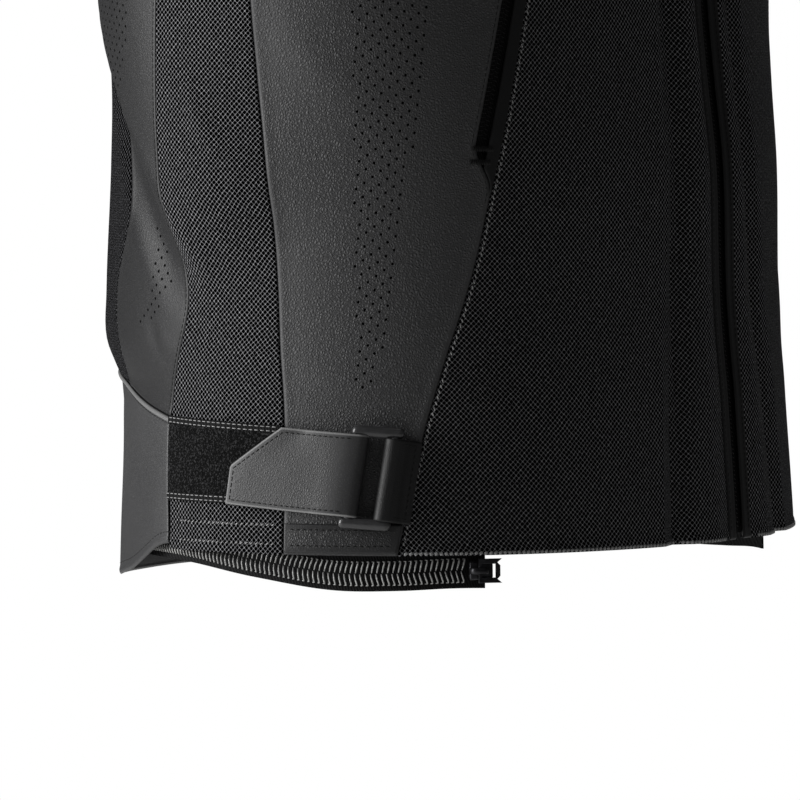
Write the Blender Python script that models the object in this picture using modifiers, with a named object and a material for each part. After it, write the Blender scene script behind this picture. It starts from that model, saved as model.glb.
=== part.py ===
"""Motorcycle jacket in leather and mesh: hollow panels, waist adjusters, zips, collar and sleeves.

The wearer faces -Y and the wearer's right is -X. Sizes are in millimetres and become metres as
each mesh is made. A place on the body of the jacket is an angle round from the front centre,
positive to the wearer's right, and a way up the cloth from the hem. The finished jacket hangs
from an empty, so that the origin lies between the shoulders that hold it up.
"""

import math

import bmesh
import bpy
import numpy as np
from mathutils import Matrix, Vector

MM = 0.001
SHOULDER_HEIGHT = 560.0  # the origin's height over the hem at the side

# Walls and gaps
SEAM = 0.4  # between neighbouring panels
WIDE_SEAM = 1.2  # where a fold crosses the seam
LEATHER = 1.5
MESH_CLOTH = 1.2
COLLAR_WALL = 2.4
STRAP = 1.8
CLEARANCE = 0.45
RIM = 2.5  # the narrow row of faces along a panel's edge

# The body's sections, from the hem up to the neck seam
# up: way along the cloth, height, half_width, front and back: depths from the axis,
# tilt: how far a section drops towards the front, per mm
BODY = (
    # up, height, half_width, front, back, tilt
    (-40, -40, 197, 152.0, 146.0, 0.00),
    (0, 0, 196, 150.5, 145.1, 0.00),
    (55, 55, 192.5, 146.7, 144.5, 0.00),
    (74, 74, 192, 145.2, 146.0, 0.00),
    (81, 81, 192, 144.4, 150.5, 0.00),
    (93, 93, 192, 143.2, 157.0, 0.00),
    (115, 115, 192.5, 141.5, 157.0, 0.00),
    (176, 176, 195, 139.5, 152.5, 0.00),
    (215, 215, 198.5, 135.0, 150.5, 0.00),
    (256, 256, 203, 131.0, 154.0, 0.00),
    (330, 330, 210, 130.0, 166.0, 0.00),
    (400, 400, 214, 131.0, 170.0, 0.00),
    (460, 460, 213, 126.0, 167.0, 0.02),
    (515, 514, 209, 112.0, 155.0, 0.08),
    (548, 545, 200, 97.0, 141.0, 0.14),
    (575, 566, 183, 84.0, 124.0, 0.20),
    (605, 583, 158, 73.0, 107.0, 0.26),
    (643, 601, 124, 64.0, 92.0, 0.30),
    (679, 615, 91, 58.0, 80.0, 0.33),
    (697, 622, 75, 55.0, 74.0, 0.34),
)
FRONT_SQUARENESS = 2.15
BACK_SQUARENESS = 2.0
NECK = 697.0
CHEST_SEAM = 430.0

# Seams by height: the angle of each, from the back to the front
SEAMS = (
    # up, back_mesh, side_back, side_front, front
    (0, 122.0, 105.8, 85.9, 70.2),
    (57, 122.4, 106.9, 86.2, 66.6),
    (75, 122.7, 105.9, 86.5, 65.0),
    (92, 123.3, 104.1, 86.9, 63.4),
    (105, 124.2, 102.8, 87.0, 62.0),
    (119, 124.0, 102.5, 87.1, 60.6),
    (135, 121.2, 103.5, 87.3, 59.2),
    (153, 118.0, 104.4, 87.5, 57.9),
    (163, 118.2, 105.2, 87.8, 57.2),
    (182, 120.0, 105.5, 88.3, 55.8),
    (215, 124.0, 105.5, 89.2, 53.6),
    (250, 129.0, 105.2, 89.7, 51.4),
    (330, 133.0, 104.0, 89.0, 46.0),
    (400, 134.0, 103.0, 88.5, 41.5),
    (430, 134.0, 103.0, 88.5, 39.5),
)

# The back waist belt: its edges by angle
BELT = (
    # angle, low, top
    (104.0, 3.0, 57.5),
    (108.5, 1.0, 61.0),
    (113.0, -5.5, 64.3),
    (118.0, -11.5, 68.3),
    (124.5, -15.0, 73.5),
    (130.0, -17.0, 76.0),
    (150.0, -19.5, 80.5),
    (180.0, -20.5, 82.0),
)

# Front edge: the mesh dips beside a soft raised band, which ends in a narrow leather edge
EDGE_IN = 4.0
EDGE_OUT = 12.0
TROUGH_DEPTH = 6.0
TROUGH_HALF_WIDTH = 12.0
BAND_HEIGHT = 2.5
BAND_FROM_EDGE = 12.0
TROUGH = (
    # up, from_centre
    (0, 55),
    (55, 50),
    (110, 43),
    (205, 36),
    (260, 34),
    (430, 30),
)
TROUGH_ENDS = (330.0, 440.0)

# The fold behind the arm: the cloth above it overhangs the waist
FOLD_START = (120.7, 217.0)  # angle, up
FOLD_END = (101.4, 132.0)
FOLD_HEIGHT = 8.0
FOLD_WIDTH = 15.0
FOLD_BELOW = 3.5
FOLD_REACH = 70.0
FOLD_FADES = (95.0, 46.0)  # before its start and past its end

# The rows of faces on the panels: neighbours share their heights, so their edges match
ROWS = (30, 60, 100, 130, 160, 175, 190, 220, 250, 290, 330, 352, 375)
FINE_ROWS = (30, 60, 88, 100, 115, 130, 145, 160, 175, 190, 205, 220, 250, 290, 330, 352, 375)
YOKE_ROWS = (452, 475, 500, 522, 543, 556, 563, 566, 590, 615, 645, 675)

# Armhole
ARMHOLE = {"angle": 88.0, "up": 483.0, "half_angle": 38.0, "half_height": 83.0}

# Sleeves: a row for each ring, along the arm from the armhole
# turn: degrees outwards from straight ahead, drop: degrees below level
SLEEVE = (
    # along, turn, drop, half_across, half_deep
    (0, 76, 6, 72, 76),
    (60, 66, 10, 69, 74),
    (120, 56, 14, 66, 70),
    (200, 49, 16, 62, 65),
    (260, 44, 16, 60, 62),
    (300, 39, 14, 60, 61),
    (340, 33, 11, 59, 60),
    (380, 28, 8, 57, 58),
    (440, 24, 5, 53, 54),
    (600, 22, 3, 45, 46),
    (625, 22, 3, 45, 46),
)
SLEEVE_BLEND = 130.0
SLEEVE_FRONT_SEAM = 112.0
SLEEVE_BACK_SEAM = 248.0
SLEEVE_INSET = 1.1  # from the armhole's edge
ELBOW_FOLDS = (
    # along, depth, half_width, at, spread
    (298, 5.0, 15, 95, 62),
    (332, 7.0, 16, 88, 70),
    (366, 4.5, 14, 98, 58),
    (132, 4.0, 17, 120, 55),
)
ELBOW_POINT = {"along": 335.0, "height": 5.0, "reach": 52.0, "at": 262.0, "spread": 70.0}

COLLAR_HEIGHT = 44.0
COLLAR_LEAN = 9.0

# Pocket: a slot beside the front seam, with a welt between the slot and the mesh
POCKET_LOW = 186.0
POCKET_HIGH = 330.0
POCKET_TAPER = 24.0
SLOT_WIDTH = 6.0
WELT_WIDTH = 6.5
WELT_LOW = 162.0
WELT_HIGH = 352.0

# Waist adjuster, in mm along the strap and over the hem
RING_ANGLE = 76.0  # where the ring's left bar lies
RING_UP = 36.0
RING_TILT = 7.5
TAB_TILT = 4.5  # the tab lies flatter than the ring leans
RING_INSIDE = 41.5
RING_BARS_APART = 15.4
RING_WIRE = 4.2
BAR_OUT = 5.5
TAB_HEIGHT = 37.5
TAB_LENGTH = 59.0
TAB_CHAMFER = 23.0
TAB_CHAMFER_HEIGHT = 20.0
TAB_RETURN = 16.0
ANCHOR_LENGTH = 11.0

HOOK_STRIP_LOW = 24.5
HOOK_STRIP_TOP = 57.0
HEM_FACING_TOP = 14.0

# Zips
CHAIN_WIDTH = 5.6
SLIDER = {"length": 11.0, "width": 8.6, "height": 3.0, "arch_width": 3.0, "arch_height": 3.4}
PULL = {"width": 11.0, "bar": 1.4, "frame": 9.5, "thickness": 1.2}
PIN = {"ahead": 1.2, "over_slider": 1.35, "hole": 2.4}
CONNECTION_ZIP = (
    # angle, up: the middle of the chain
    (53.0, -7.5),
    (62.0, -7.0),
    (70.0, -8.0),
    (79.0, -8.0),
    (91.0, -3.0),
    (103.0, 2.0),
    (125.0, 3.0),
    (180.0, 3.0),
)
CONNECTION_START = 60.2  # the angle where its tape and chain end
CONNECTION_SLIDER_PAST = 1.6
CONNECTION_IN = 6.5
CONNECTION_CHAIN = 11.0
CONNECTION_TAPE_UP = 20.0  # from the chain's middle up behind the hem
CONNECTION_TAPE_DOWN = 2.5  # below the chain
TAPE = 0.9
FRONT_TAPE = {"half_width": 8.5, "back": -3.2, "chain": 3.0}
POCKET_TAPE = {"half_width": 6.5, "back": -3.4, "chain": 2.6, "half_chain": 2.2, "past_slot": 16.0}
SLIDER_OUT = 0.9  # the slider's back over the leather
FRONT_SLIDER_DOWN = 16.0
POCKET_SLIDER_DOWN = 6.0
FRONT_PULL_TAB = 16.0
POCKET_PULL_TAB = 12.0


def smooth_row(table, where):
    """The table's other columns at a value of its first one, on a smooth curve through the rows."""
    rows = np.array(table, float)
    at, columns = rows[:, 0], rows[:, 1:]
    step = np.diff(at)
    slope = np.diff(columns, axis=0) / step[:, None]
    tangent = np.vstack([slope[:1], slope, slope[-1:]])
    tangent = (tangent[:-1] + tangent[1:]) / 2
    where = np.asarray(where, float)
    row = np.clip(np.searchsorted(at, where) - 1, 0, len(at) - 2)
    t = ((where - at[row]) / step[row])[..., None]
    t = np.clip(t, -1.0, 2.0)
    length = step[row][..., None]
    return (
        (2 * t**3 - 3 * t**2 + 1) * columns[row]
        + (t**3 - 2 * t**2 + t) * length * tangent[row]
        + (3 * t**2 - 2 * t**3) * columns[row + 1]
        + (t**3 - t**2) * length * tangent[row + 1]
    )


def ease(t):
    t = np.clip(t, 0.0, 1.0)
    return t * t * (3 - 2 * t)


def hump(distance, half_width):
    """1 at the middle, falling smoothly to 0 at the half width."""
    return 1 - ease(np.abs(distance) / half_width)


def seam(column):
    names = ("back_mesh", "side_back", "side_front", "front")
    return lambda up: smooth_row(SEAMS, up)[..., names.index(column)]


def belt_low(angle):
    return smooth_row(BELT, angle)[..., 0]


def belt_top(angle):
    return smooth_row(BELT, angle)[..., 1]


def front_relief(across, up):
    """The trough and the raised band beside the front edge, by the way across from the centre."""
    trough = smooth_row(TROUGH, np.clip(up, 0, 430))[..., 0]
    start, end = TROUGH_ENDS
    fade = 1 - ease((up - start) / (end - start))
    dip = -TROUGH_DEPTH * hump(across - trough, TROUGH_HALF_WIDTH)
    middle = EDGE_OUT + (trough - BAND_FROM_EDGE - EDGE_OUT) / 2
    band = BAND_HEIGHT * hump(across - middle, np.maximum(middle - EDGE_OUT, 6.0) + 5.0)
    return fade * (dip + band)


def fold_relief(angle, up):
    """The overhang behind the arm: raised above the fold line and hollow just under it."""
    (a0, v0), (a1, v1) = FOLD_START, FOLD_END
    mm_per_degree = 3.1
    across = (angle - a0) * mm_per_degree
    line = np.array([(a1 - a0) * mm_per_degree, v1 - v0])
    length = np.hypot(*line)
    line /= length
    along = across * line[0] + (up - v0) * line[1]
    over = across * -line[1] + (up - v0) * line[0]
    over = -over
    before, past = FOLD_FADES
    here = ease((length + 26 - along) / past) * ease((along + before) / before)
    rise = FOLD_HEIGHT * ease(over / FOLD_WIDTH + 0.5) * (1 - ease((over - 20) / FOLD_REACH))
    hollow = -FOLD_BELOW * hump(over + 14, 16)
    return here * (rise + hollow)


def shape(angle, up):
    """The outer surface of the body, with its largest folds."""
    angle, up = np.broadcast_arrays(np.asarray(angle, float), np.asarray(up, float))
    side = np.where(angle < 0, -1.0, 1.0)
    turn = np.radians(np.abs(angle))
    side = np.where(np.abs(angle) > 180, -side, side)
    height, half, front, back, tilt = np.moveaxis(smooth_row(BODY, up), -1, 0)
    sine, cosine = np.abs(np.sin(turn)), np.cos(turn)
    depth = np.where(cosine > 0, front, back)
    power = np.where(cosine > 0, FRONT_SQUARENESS, BACK_SQUARENESS)
    reach = ((sine / half) ** power + (np.abs(cosine) / depth) ** power) ** (-1 / power)
    folded = np.where(np.abs(angle) > 180, 360 - np.abs(angle), np.abs(angle))
    reach = reach + fold_relief(folded, up)
    reach = reach + front_relief(reach * sine, up) * (cosine > 0)
    x = -reach * sine * side
    y = -reach * cosine
    return np.stack([x, y, height + tilt * y], axis=-1)


def body(angle, up, out=0.0):
    """A point on the jacket's body, moved out along the surface's normal."""
    angle, up = np.broadcast_arrays(np.asarray(angle, float), np.asarray(up, float))
    point = shape(angle, up)
    round_it = shape(angle + 0.25, up) - shape(angle - 0.25, up)
    upwards = shape(angle, up + 0.5) - shape(angle, up - 0.5)
    normal = np.cross(upwards, round_it)
    normal /= np.linalg.norm(normal, axis=-1, keepdims=True)
    return point + normal * np.asarray(out, float)[..., None]


def degrees_for(distance, angle, up):
    """The change of angle that moves a point this far round the surface."""
    here = shape(np.asarray(angle) + 0.5, up) - shape(np.asarray(angle) - 0.5, up)
    return distance / np.linalg.norm(here, axis=-1)


def angle_across(distance):
    """The angle at a distance from the front centre, as a function of the way up."""

    def angle(up):
        front = smooth_row(BODY, up)[..., 2]
        return np.degrees(np.arcsin(np.clip(distance / front, -1, 1)))

    return angle


def armhole(turn, inset=0.0):
    """Angle and way up of the armhole's edge, turning from the top over the front."""
    turn = np.radians(turn)
    mm_per_degree = 3.4
    half_angle = ARMHOLE["half_angle"] - inset / mm_per_degree
    half_height = ARMHOLE["half_height"] - inset
    return (
        ARMHOLE["angle"] - half_angle * np.sin(turn),
        ARMHOLE["up"] + half_height * np.cos(turn),
    )


def armhole_edge(side):
    """The armhole's front (-1) or back (1) edge as an angle by the way up."""

    def edge(up):
        level = (np.asarray(up, float) - ARMHOLE["up"]) / (ARMHOLE["half_height"] + SEAM)
        wide = np.sqrt(np.clip(1 - level**2, 0, 1))
        return ARMHOLE["angle"] + side * ARMHOLE["half_angle"] * wide

    return edge


def armhole_floor(angle):
    """The way up of the armhole's lower edge, where a panel passes under it."""
    wide = (np.asarray(angle, float) - ARMHOLE["angle"]) / ARMHOLE["half_angle"]
    deep = np.sqrt(np.clip(1 - wide**2, 0, 1))
    return np.minimum(CHEST_SEAM, ARMHOLE["up"] - ARMHOLE["half_height"] * deep)


def level(up):
    return lambda angle: np.full(np.shape(angle), float(up))


def sleeve_axis():
    """Points and directions along the arm, a row for each 5 mm."""
    angle, up = armhole(np.arange(0, 360, 15.0))
    point = body(angle, up).mean(axis=0)
    rows = []
    step = 5.0
    for along in np.arange(0, SLEEVE[-1][0] + 60, step):
        turn, drop = np.radians(smooth_row(SLEEVE, along)[:2])
        ahead = np.array(
            [-math.sin(turn) * math.cos(drop), -math.cos(turn) * math.cos(drop), -math.sin(drop)]
        )
        rows.append(np.concatenate([[along], point, ahead]))
        point = point + ahead * step
    return np.array(rows)


AXIS = None


def sleeve_ring(along, at):
    """A point of the sleeve's plain tube: at turns from the top over the front."""
    columns = [np.interp(along, AXIS[:, 0], AXIS[:, i]) for i in range(1, 7)]
    centre = np.stack(columns[:3], axis=-1)
    ahead = np.stack(columns[3:], axis=-1)
    ahead /= np.linalg.norm(ahead, axis=-1, keepdims=True)
    rise = np.array([0.0, 0.0, 1.0]) - ahead * ahead[..., 2:]
    rise /= np.linalg.norm(rise, axis=-1, keepdims=True)
    inner = np.cross(rise, ahead)
    across, deep = smooth_row(SLEEVE, along)[..., 2], smooth_row(SLEEVE, along)[..., 3]
    relief = 0.0
    for fold_along, depth, half_width, fold_at, spread in ELBOW_FOLDS:
        way = (np.asarray(at) - fold_at + 180) % 360 - 180
        bent = along + way * 0.16
        relief = relief - depth * hump(bent - fold_along, half_width) * hump(way, spread)
    way = (np.asarray(at) - ELBOW_POINT["at"] + 180) % 360 - 180
    relief = relief + ELBOW_POINT["height"] * hump(
        along - ELBOW_POINT["along"], ELBOW_POINT["reach"]
    ) * hump(way, ELBOW_POINT["spread"])
    turn = np.radians(at)
    up_part = rise * ((deep + relief) * np.cos(turn))[..., None]
    side_part = inner * ((across + relief) * np.sin(turn))[..., None]
    return centre + up_part + side_part


def sleeve(along, at):
    """The sleeve's outer surface, which starts as a narrow band inside the armhole's edge."""
    along, at = np.broadcast_arrays(np.asarray(along, float), np.asarray(at, float))
    inset = SLEEVE_INSET + np.clip(along + RIM, 0, RIM)
    start = body(*armhole(at, inset))
    ring = sleeve_ring(np.maximum(along, 0.0), at)
    blend = ease(along / SLEEVE_BLEND)[..., None]
    out = np.stack([np.interp(along, AXIS[:, 0], AXIS[:, i]) - AXIS[0, i] for i in (1, 2, 3)], -1)
    return (start + out) * (1 - blend) + ring * blend


def collar(angle, height):
    """The stand collar's outer surface over the neck seam."""
    angle, height = np.broadcast_arrays(np.asarray(angle, float), np.asarray(height, float))
    base = shape(angle, np.full(angle.shape, NECK + SEAM))
    turn, lean = np.radians(angle), math.radians(COLLAR_LEAN)
    outwards = np.stack([-np.sin(turn), -np.cos(turn), np.zeros_like(turn)], axis=-1)
    upright = np.array([0.0, 0.0, 1.0])
    reach = height[..., None]
    return base + upright * reach * math.cos(lean) - outwards * reach * math.sin(lean)


# Making objects


def material(name, colour, roughness, metallic=0.0):
    made = bpy.data.materials.new(name)
    made.use_nodes = True
    shader = made.node_tree.nodes["Principled BSDF"]
    shader.inputs["Base Color"].default_value = (*colour, 1.0)
    shader.inputs["Roughness"].default_value = roughness
    shader.inputs["Metallic"].default_value = metallic
    return made


def make_materials():
    return {
        "leather": material("grained_leather", (0.030, 0.030, 0.031), 0.48),
        "belt": material("smooth_leather", (0.036, 0.036, 0.037), 0.42),
        "mesh": material("mesh_fabric", (0.016, 0.016, 0.017), 0.80),
        "nap": material("hook_and_loop", (0.010, 0.010, 0.011), 0.95),
        "tape": material("zip_tape", (0.014, 0.014, 0.015), 0.85),
        "metal": material("black_metal", (0.050, 0.050, 0.052), 0.35, 0.9),
    }


def add_object(name, mesh, finish, parts, jacket):
    mesh.materials.append(finish)
    made = bpy.data.objects.new(name, mesh)
    parts.objects.link(made)
    made.parent = jacket
    return made


def mesh_from_grid(name, points):
    """An open sheet of quads through a grid of points, in metres."""
    rows, columns = points.shape[:2]
    sheet = bmesh.new()
    places = [[sheet.verts.new(Vector(p * MM)) for p in row] for row in points]
    for i in range(rows - 1):
        for j in range(columns - 1):
            corners = (places[i][j], places[i][j + 1], places[i + 1][j + 1], places[i + 1][j])
            sheet.faces.new(corners)
    mesh = bpy.data.meshes.new(name)
    sheet.to_mesh(mesh)
    sheet.free()
    mesh.shade_smooth()
    return mesh


def spaced(length, cells):
    """Places from 0 to 1 with a narrow row at each end and even cells between."""
    rim = min(RIM / length, 0.2)
    return np.concatenate([[0.0], np.linspace(rim, 1 - rim, cells + 1), [1.0]])


def panel_points(left, right, low, top, across, heights, out=0.0, gap=SEAM / 2):
    """A grid between two seams (angles by the way up) and two edges (ways up by angle)."""
    across = np.asarray(across, float)

    def angles(up):
        start, end = left(up), right(up)
        nudge = degrees_for(gap, (start + end) / 2, up)
        return (start - nudge) * (1 - across) + (end + nudge) * across

    def row_along(edge, offset):
        up = edge(np.full(across.shape, 90.0)) + offset
        for _ in range(24):
            up = (up + edge(angles(up)) + offset) / 2
        return body(angles(up), up, out)

    rows = [row_along(low, gap), row_along(low, RIM)]
    rows += [body(angles(np.full(across.shape, float(up))), float(up), out) for up in heights]
    rows += [row_along(top, -RIM), row_along(top, -gap)]
    return np.array(rows)


def add_wall(name, points, wall, finish, parts, jacket, side=1, mirror=False):
    """A sheet given its thickness inwards. Side -1 makes the wearer's left one."""
    if side < 0:
        points = (points * np.array([-1.0, 1.0, 1.0]))[:, ::-1]
    made = add_object(name, mesh_from_grid(name, points), finish, parts, jacket)
    if mirror:
        half = made.modifiers.new("Mirror", "MIRROR")
        half.use_axis = (True, False, False)
        half.use_clip = True
        half.merge_threshold = 0.0001
    shell = made.modifiers.new("Wall", "SOLIDIFY")
    shell.thickness = wall * MM
    shell.offset = -1.0
    shell.use_even_offset = True
    return made


def both_sides(stem):
    return ((f"{stem}_R", 1), (f"{stem}_L", -1))


def add_body_panels(finish, parts, jacket):
    """The panels from the hem to the chest seam."""
    hem, chest = level(0.0), level(CHEST_SEAM)
    edge = angle_across(EDGE_OUT)
    front_columns = (0.0, 0.025, 0.17, 0.33, 0.49, 0.62, 0.72, 0.8, 0.88, 0.98, 1.0)
    plans = (
        # name, left and right seams, low and top edges, columns, rows, cloth, wall
        ("front_mesh", seam("front"), edge, hem, chest, front_columns, ROWS, "mesh"),
        (
            "front_leather",
            seam("side_front"),
            pocket_seam(),
            hem,
            armhole_floor,
            spaced(95, 5),
            ROWS,
            "leather",
        ),
        (
            "side_mesh",
            seam("side_back"),
            seam("side_front"),
            hem,
            armhole_floor,
            (0.0, 0.5, 1.0),
            FINE_ROWS,
            "mesh",
        ),
        (
            "back_leather",
            seam("back_mesh"),
            seam("side_back"),
            belt_top,
            armhole_floor,
            (0.0, 0.33, 0.66, 1.0),
            FINE_ROWS[2:],
            "leather",
        ),
    )
    for stem, left, right, low, top, columns, rows, cloth in plans:
        gap = WIDE_SEAM / 2 if stem == "back_leather" else SEAM / 2
        points = panel_points(left, right, low, top, columns, rows, gap=gap)
        wall = LEATHER if cloth == "leather" else MESH_CLOTH
        for name, side in both_sides(stem):
            add_wall(name, points, wall, finish[cloth], parts, jacket, side)

    columns, rows = spaced(190, 6)[1:], FINE_ROWS[2:]
    points = panel_points(middle_back, seam("back_mesh"), belt_top, chest, columns, rows)
    add_half(points, "back_mesh", MESH_CLOTH, finish["mesh"], parts, jacket)
    columns = spaced(200, 8)[1:]
    points = panel_points(middle_back, belt_front, belt_low, belt_top, columns, (), out=0.5)
    add_half(points, "back_belt", LEATHER + 0.5, finish["belt"], parts, jacket)


def middle_back(up):
    return np.full(np.shape(up), 180.0)


def belt_front(up):
    """The belt's front edges stand just clear of the side panels."""
    return seam("side_back")(up) + 0.25


def add_half(points, name, wall, finish, parts, jacket):
    """A half that is open at the middle plane, mirrored to the wearer's left."""
    points = points.copy()
    points[:, 0, 0] = 0.0
    add_wall(name, points, wall, finish, parts, jacket, mirror=True)


def shoulder_seam(side):
    """The yoke's outer edge: up the armhole and then along the shoulder."""
    armhole_side = armhole_edge(side)
    top = ARMHOLE["up"] + ARMHOLE["half_height"] + SEAM

    def outer(up):
        return np.where(np.asarray(up) > top, 90.0, armhole_side(up))

    return outer


def add_yokes(finish, parts, jacket):
    chest, neck = level(CHEST_SEAM), level(NECK)
    edge = angle_across(EDGE_OUT)
    columns = spaced(190, 5)
    points = panel_points(shoulder_seam(-1), edge, chest, neck, columns, YOKE_ROWS)
    for name, side in both_sides("front_yoke"):
        add_wall(name, points, LEATHER, finish["leather"], parts, jacket, side)
    columns = spaced(220, 6)[1:]
    points = panel_points(middle_back, shoulder_seam(1), chest, neck, columns, YOKE_ROWS)
    add_half(points, "back_yoke", LEATHER, finish["leather"], parts, jacket)


def add_collar(finish, parts, jacket):
    start = float(angle_across(EDGE_IN + 1.0)(NECK))
    angle = np.concatenate([[180.0], np.linspace(165, 15, 9), [start + 2, start]])
    height = np.array([0.0, RIM, COLLAR_HEIGHT / 2, COLLAR_HEIGHT - RIM, COLLAR_HEIGHT])
    grid, rise = np.meshgrid(angle, height)
    add_half(collar(grid, rise), "collar", COLLAR_WALL, finish["leather"], parts, jacket)


def armhole_turns(heights):
    """Where the yoke's rows meet the armhole, as turns from its top over the front."""
    level_up = (np.array(heights, float) - ARMHOLE["up"]) / ARMHOLE["half_height"]
    return np.degrees(np.arccos(np.clip(level_up, -1, 1)))


def add_sleeves(finish, parts, jacket):
    rings = (-RIM, 0, 22, 50, 82, 115, 150, 200, 245, 280, 306, 331, 356, 390, 470, 560)
    rings = np.array([*rings, SLEEVE[-1][0] - RIM, SLEEVE[-1][0]])
    gap = 0.35  # degrees, about half the seam at the cuff
    rim = 2.2
    over = armhole_turns([up for up in YOKE_ROWS if up < 560])[1:]
    front_seam, back_seam = SLEEVE_FRONT_SEAM, SLEEVE_BACK_SEAM
    front_rim = [front_seam - rim, front_seam - gap]
    upper = [-(360 - back_seam) + gap, -(360 - back_seam) + rim, *-over, 0.0, *over[::-1]]
    upper = np.array(upper + front_rim)
    floor_turns = (front_seam + gap, front_seam + rim, 131, 146, 163, 181, 199, 214, 229)
    under = np.array([*floor_turns, back_seam - rim, back_seam - gap])
    for stem, at in (("sleeve_upper", upper), ("sleeve_under", under)):
        turn, along = np.meshgrid(at, rings)
        points = sleeve(along, turn)
        for name, side in both_sides(stem):
            add_wall(name, points, LEATHER, finish["leather"], parts, jacket, side)


# Strips, straps and fasteners that lie on the panels


def pocket_offset(up):
    """How far the front leather's edge stands back from the front seam beside the pocket."""
    up = np.asarray(up, float)
    full = WELT_WIDTH + SLOT_WIDTH
    low = ease((up - POCKET_LOW + POCKET_TAPER) / POCKET_TAPER)
    high = 1 - ease((up - POCKET_HIGH) / POCKET_TAPER)
    return full * np.minimum(low, high)


def pocket_seam():
    front = seam("front")

    def edge(up):
        angle = front(up)
        return angle + degrees_for(pocket_offset(up), angle, up)

    return edge


def frame_on_body(angle, up, ahead_angle, ahead_up):
    """Normal, ahead and side directions on the surface, for a path through this point."""
    point = body(angle, up)
    ahead = body(ahead_angle, ahead_up) - point
    normal = body(angle, up, 1.0) - point
    ahead -= normal * (ahead * normal).sum(axis=-1, keepdims=True)
    ahead /= np.linalg.norm(ahead, axis=-1, keepdims=True)
    return point, normal, ahead, np.cross(ahead, normal)


def sweep(name, path, section, finish, parts, jacket, side=1):
    """A closed section carried along a path on the body: the section is (across, out) points."""
    path = np.array(path, float)
    step = np.gradient(path, axis=0)
    solid = bmesh.new()
    rings = []
    for (angle, up), (turn, climb) in zip(path, step):
        size = 0.1 / max(abs(turn), abs(climb))
        point, normal, _, across = frame_on_body(
            angle, up, angle + turn * size, up + climb * size
        )
        ring = [point + across * a + normal * out for a, out in section(angle, up)]
        flip = np.array([side, 1.0, 1.0])
        rings.append([solid.verts.new(Vector(p * flip * MM)) for p in ring])
    for first, second in zip(rings, rings[1:]):
        for i in range(len(first)):
            j = (i + 1) % len(first)
            solid.faces.new((first[i], first[j], second[j], second[i]))
    solid.faces.new(rings[0][::-1])
    solid.faces.new(rings[-1])
    bmesh.ops.recalc_face_normals(solid, faces=solid.faces)
    mesh = bpy.data.meshes.new(name)
    solid.to_mesh(mesh)
    solid.free()
    return add_object(name, mesh, finish, parts, jacket)


def tape_and_chain(half_tape, half_chain, low, chain):
    """A zip's section: a flat tape with the raised chain along its middle."""
    points = (
        (-half_tape, low),
        (half_tape, low),
        (half_tape, low + TAPE),
        (half_chain, low + TAPE),
        (half_chain * 0.7, low + chain),
        (-half_chain * 0.7, low + chain),
        (-half_chain, low + TAPE),
        (-half_tape, low + TAPE),
    )
    return lambda angle, up: points


def add_front_edges(finish, parts, jacket):
    """The narrow leather edges on either side of the front zip, and the zip between them."""
    heights = (*ROWS, *(up for up in range(405, 680, 30)))
    outer, inner = angle_across(EDGE_OUT), angle_across(EDGE_IN)
    points = panel_points(outer, inner, level(0.0), level(NECK), (0.0, 1.0), heights, out=0.5)
    for name, side in both_sides("front_edge"):
        add_wall(name, points, LEATHER, finish["leather"], parts, jacket, side)
    path = [(0.0, up) for up in np.linspace(3.0, NECK - 6.0, 26)]
    size = FRONT_TAPE
    section = tape_and_chain(size["half_width"], CHAIN_WIDTH / 2, size["back"], size["chain"])
    sweep("front_zip", path, section, finish["tape"], parts, jacket)


def pocket_line(up, from_seam):
    angle = seam("front")(up)
    return angle + degrees_for(from_seam, angle, up)


def add_pockets(finish, parts, jacket):
    for suffix, side in (("R", 1), ("L", -1)):
        heights = np.linspace(WELT_LOW + 3, WELT_HIGH - 3, 12)
        path = []
        for up in heights:
            wide = float(welt_width(up))
            path.append((float(pocket_line(up, SEAM / 2 + wide / 2)), up))
        section = welt_section
        sweep(f"pocket_welt_{suffix}", path, section, finish["leather"], parts, jacket, side)
        slot = np.linspace(POCKET_LOW, POCKET_HIGH, 7)
        past = POCKET_TAPE["past_slot"]
        below, above = (POCKET_LOW - past, POCKET_LOW - 1), (POCKET_HIGH + 1, POCKET_HIGH + past)
        heights = (*below, *slot, *above)
        middle = WELT_WIDTH + SLOT_WIDTH / 2
        path = [(float(pocket_line(up, middle)), up) for up in heights]
        section = pocket_zip_section
        sweep(f"pocket_zip_{suffix}", path, section, finish["tape"], parts, jacket, side)


def pocket_zip_section(angle, up):
    """The pocket's tape lies behind the leather, and its chain stands in the slot only."""
    size = POCKET_TAPE
    in_slot = POCKET_LOW <= up <= POCKET_HIGH
    chain = size["chain"] if in_slot else TAPE + 0.3
    section = tape_and_chain(size["half_width"], size["half_chain"], size["back"], chain)
    return section(angle, up)


def welt_width(up):
    """The welt narrows towards its ends, where it is caught in the seam."""
    offset = pocket_offset(up)
    return np.clip(offset - SEAM, 1.2, WELT_WIDTH)


def welt_section(angle, up):
    half = float(welt_width(up)) / 2 - SEAM / 4
    return ((-half, -1.5), (half, -1.5), (half, 0.5), (-half, 0.5))


def strap_place(along, across, out):
    """A point of the adjuster: along the strap from the ring's left bar, across it, and out."""
    tilt = math.radians(RING_TILT)
    fall = math.radians(TAB_TILT if along < 0 else RING_TILT)
    ahead = along * math.cos(fall) + across * math.sin(tilt)
    rise = across * math.cos(tilt) - along * math.sin(fall)
    up = RING_UP + rise
    return body(RING_ANGLE - degrees_for(ahead, RING_ANGLE, up), up, out)


def round_bar(start, end, side, count=5):
    """Way and height of a strap's outer face as it turns round a bar, from the top down."""
    reach = RING_WIRE / 2 + CLEARANCE + STRAP
    turns = np.linspace(start, end, count)
    return [
        (side * reach * math.sin(math.radians(t)), BAR_OUT + reach * math.cos(math.radians(t)))
        for t in turns
    ]


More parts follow.
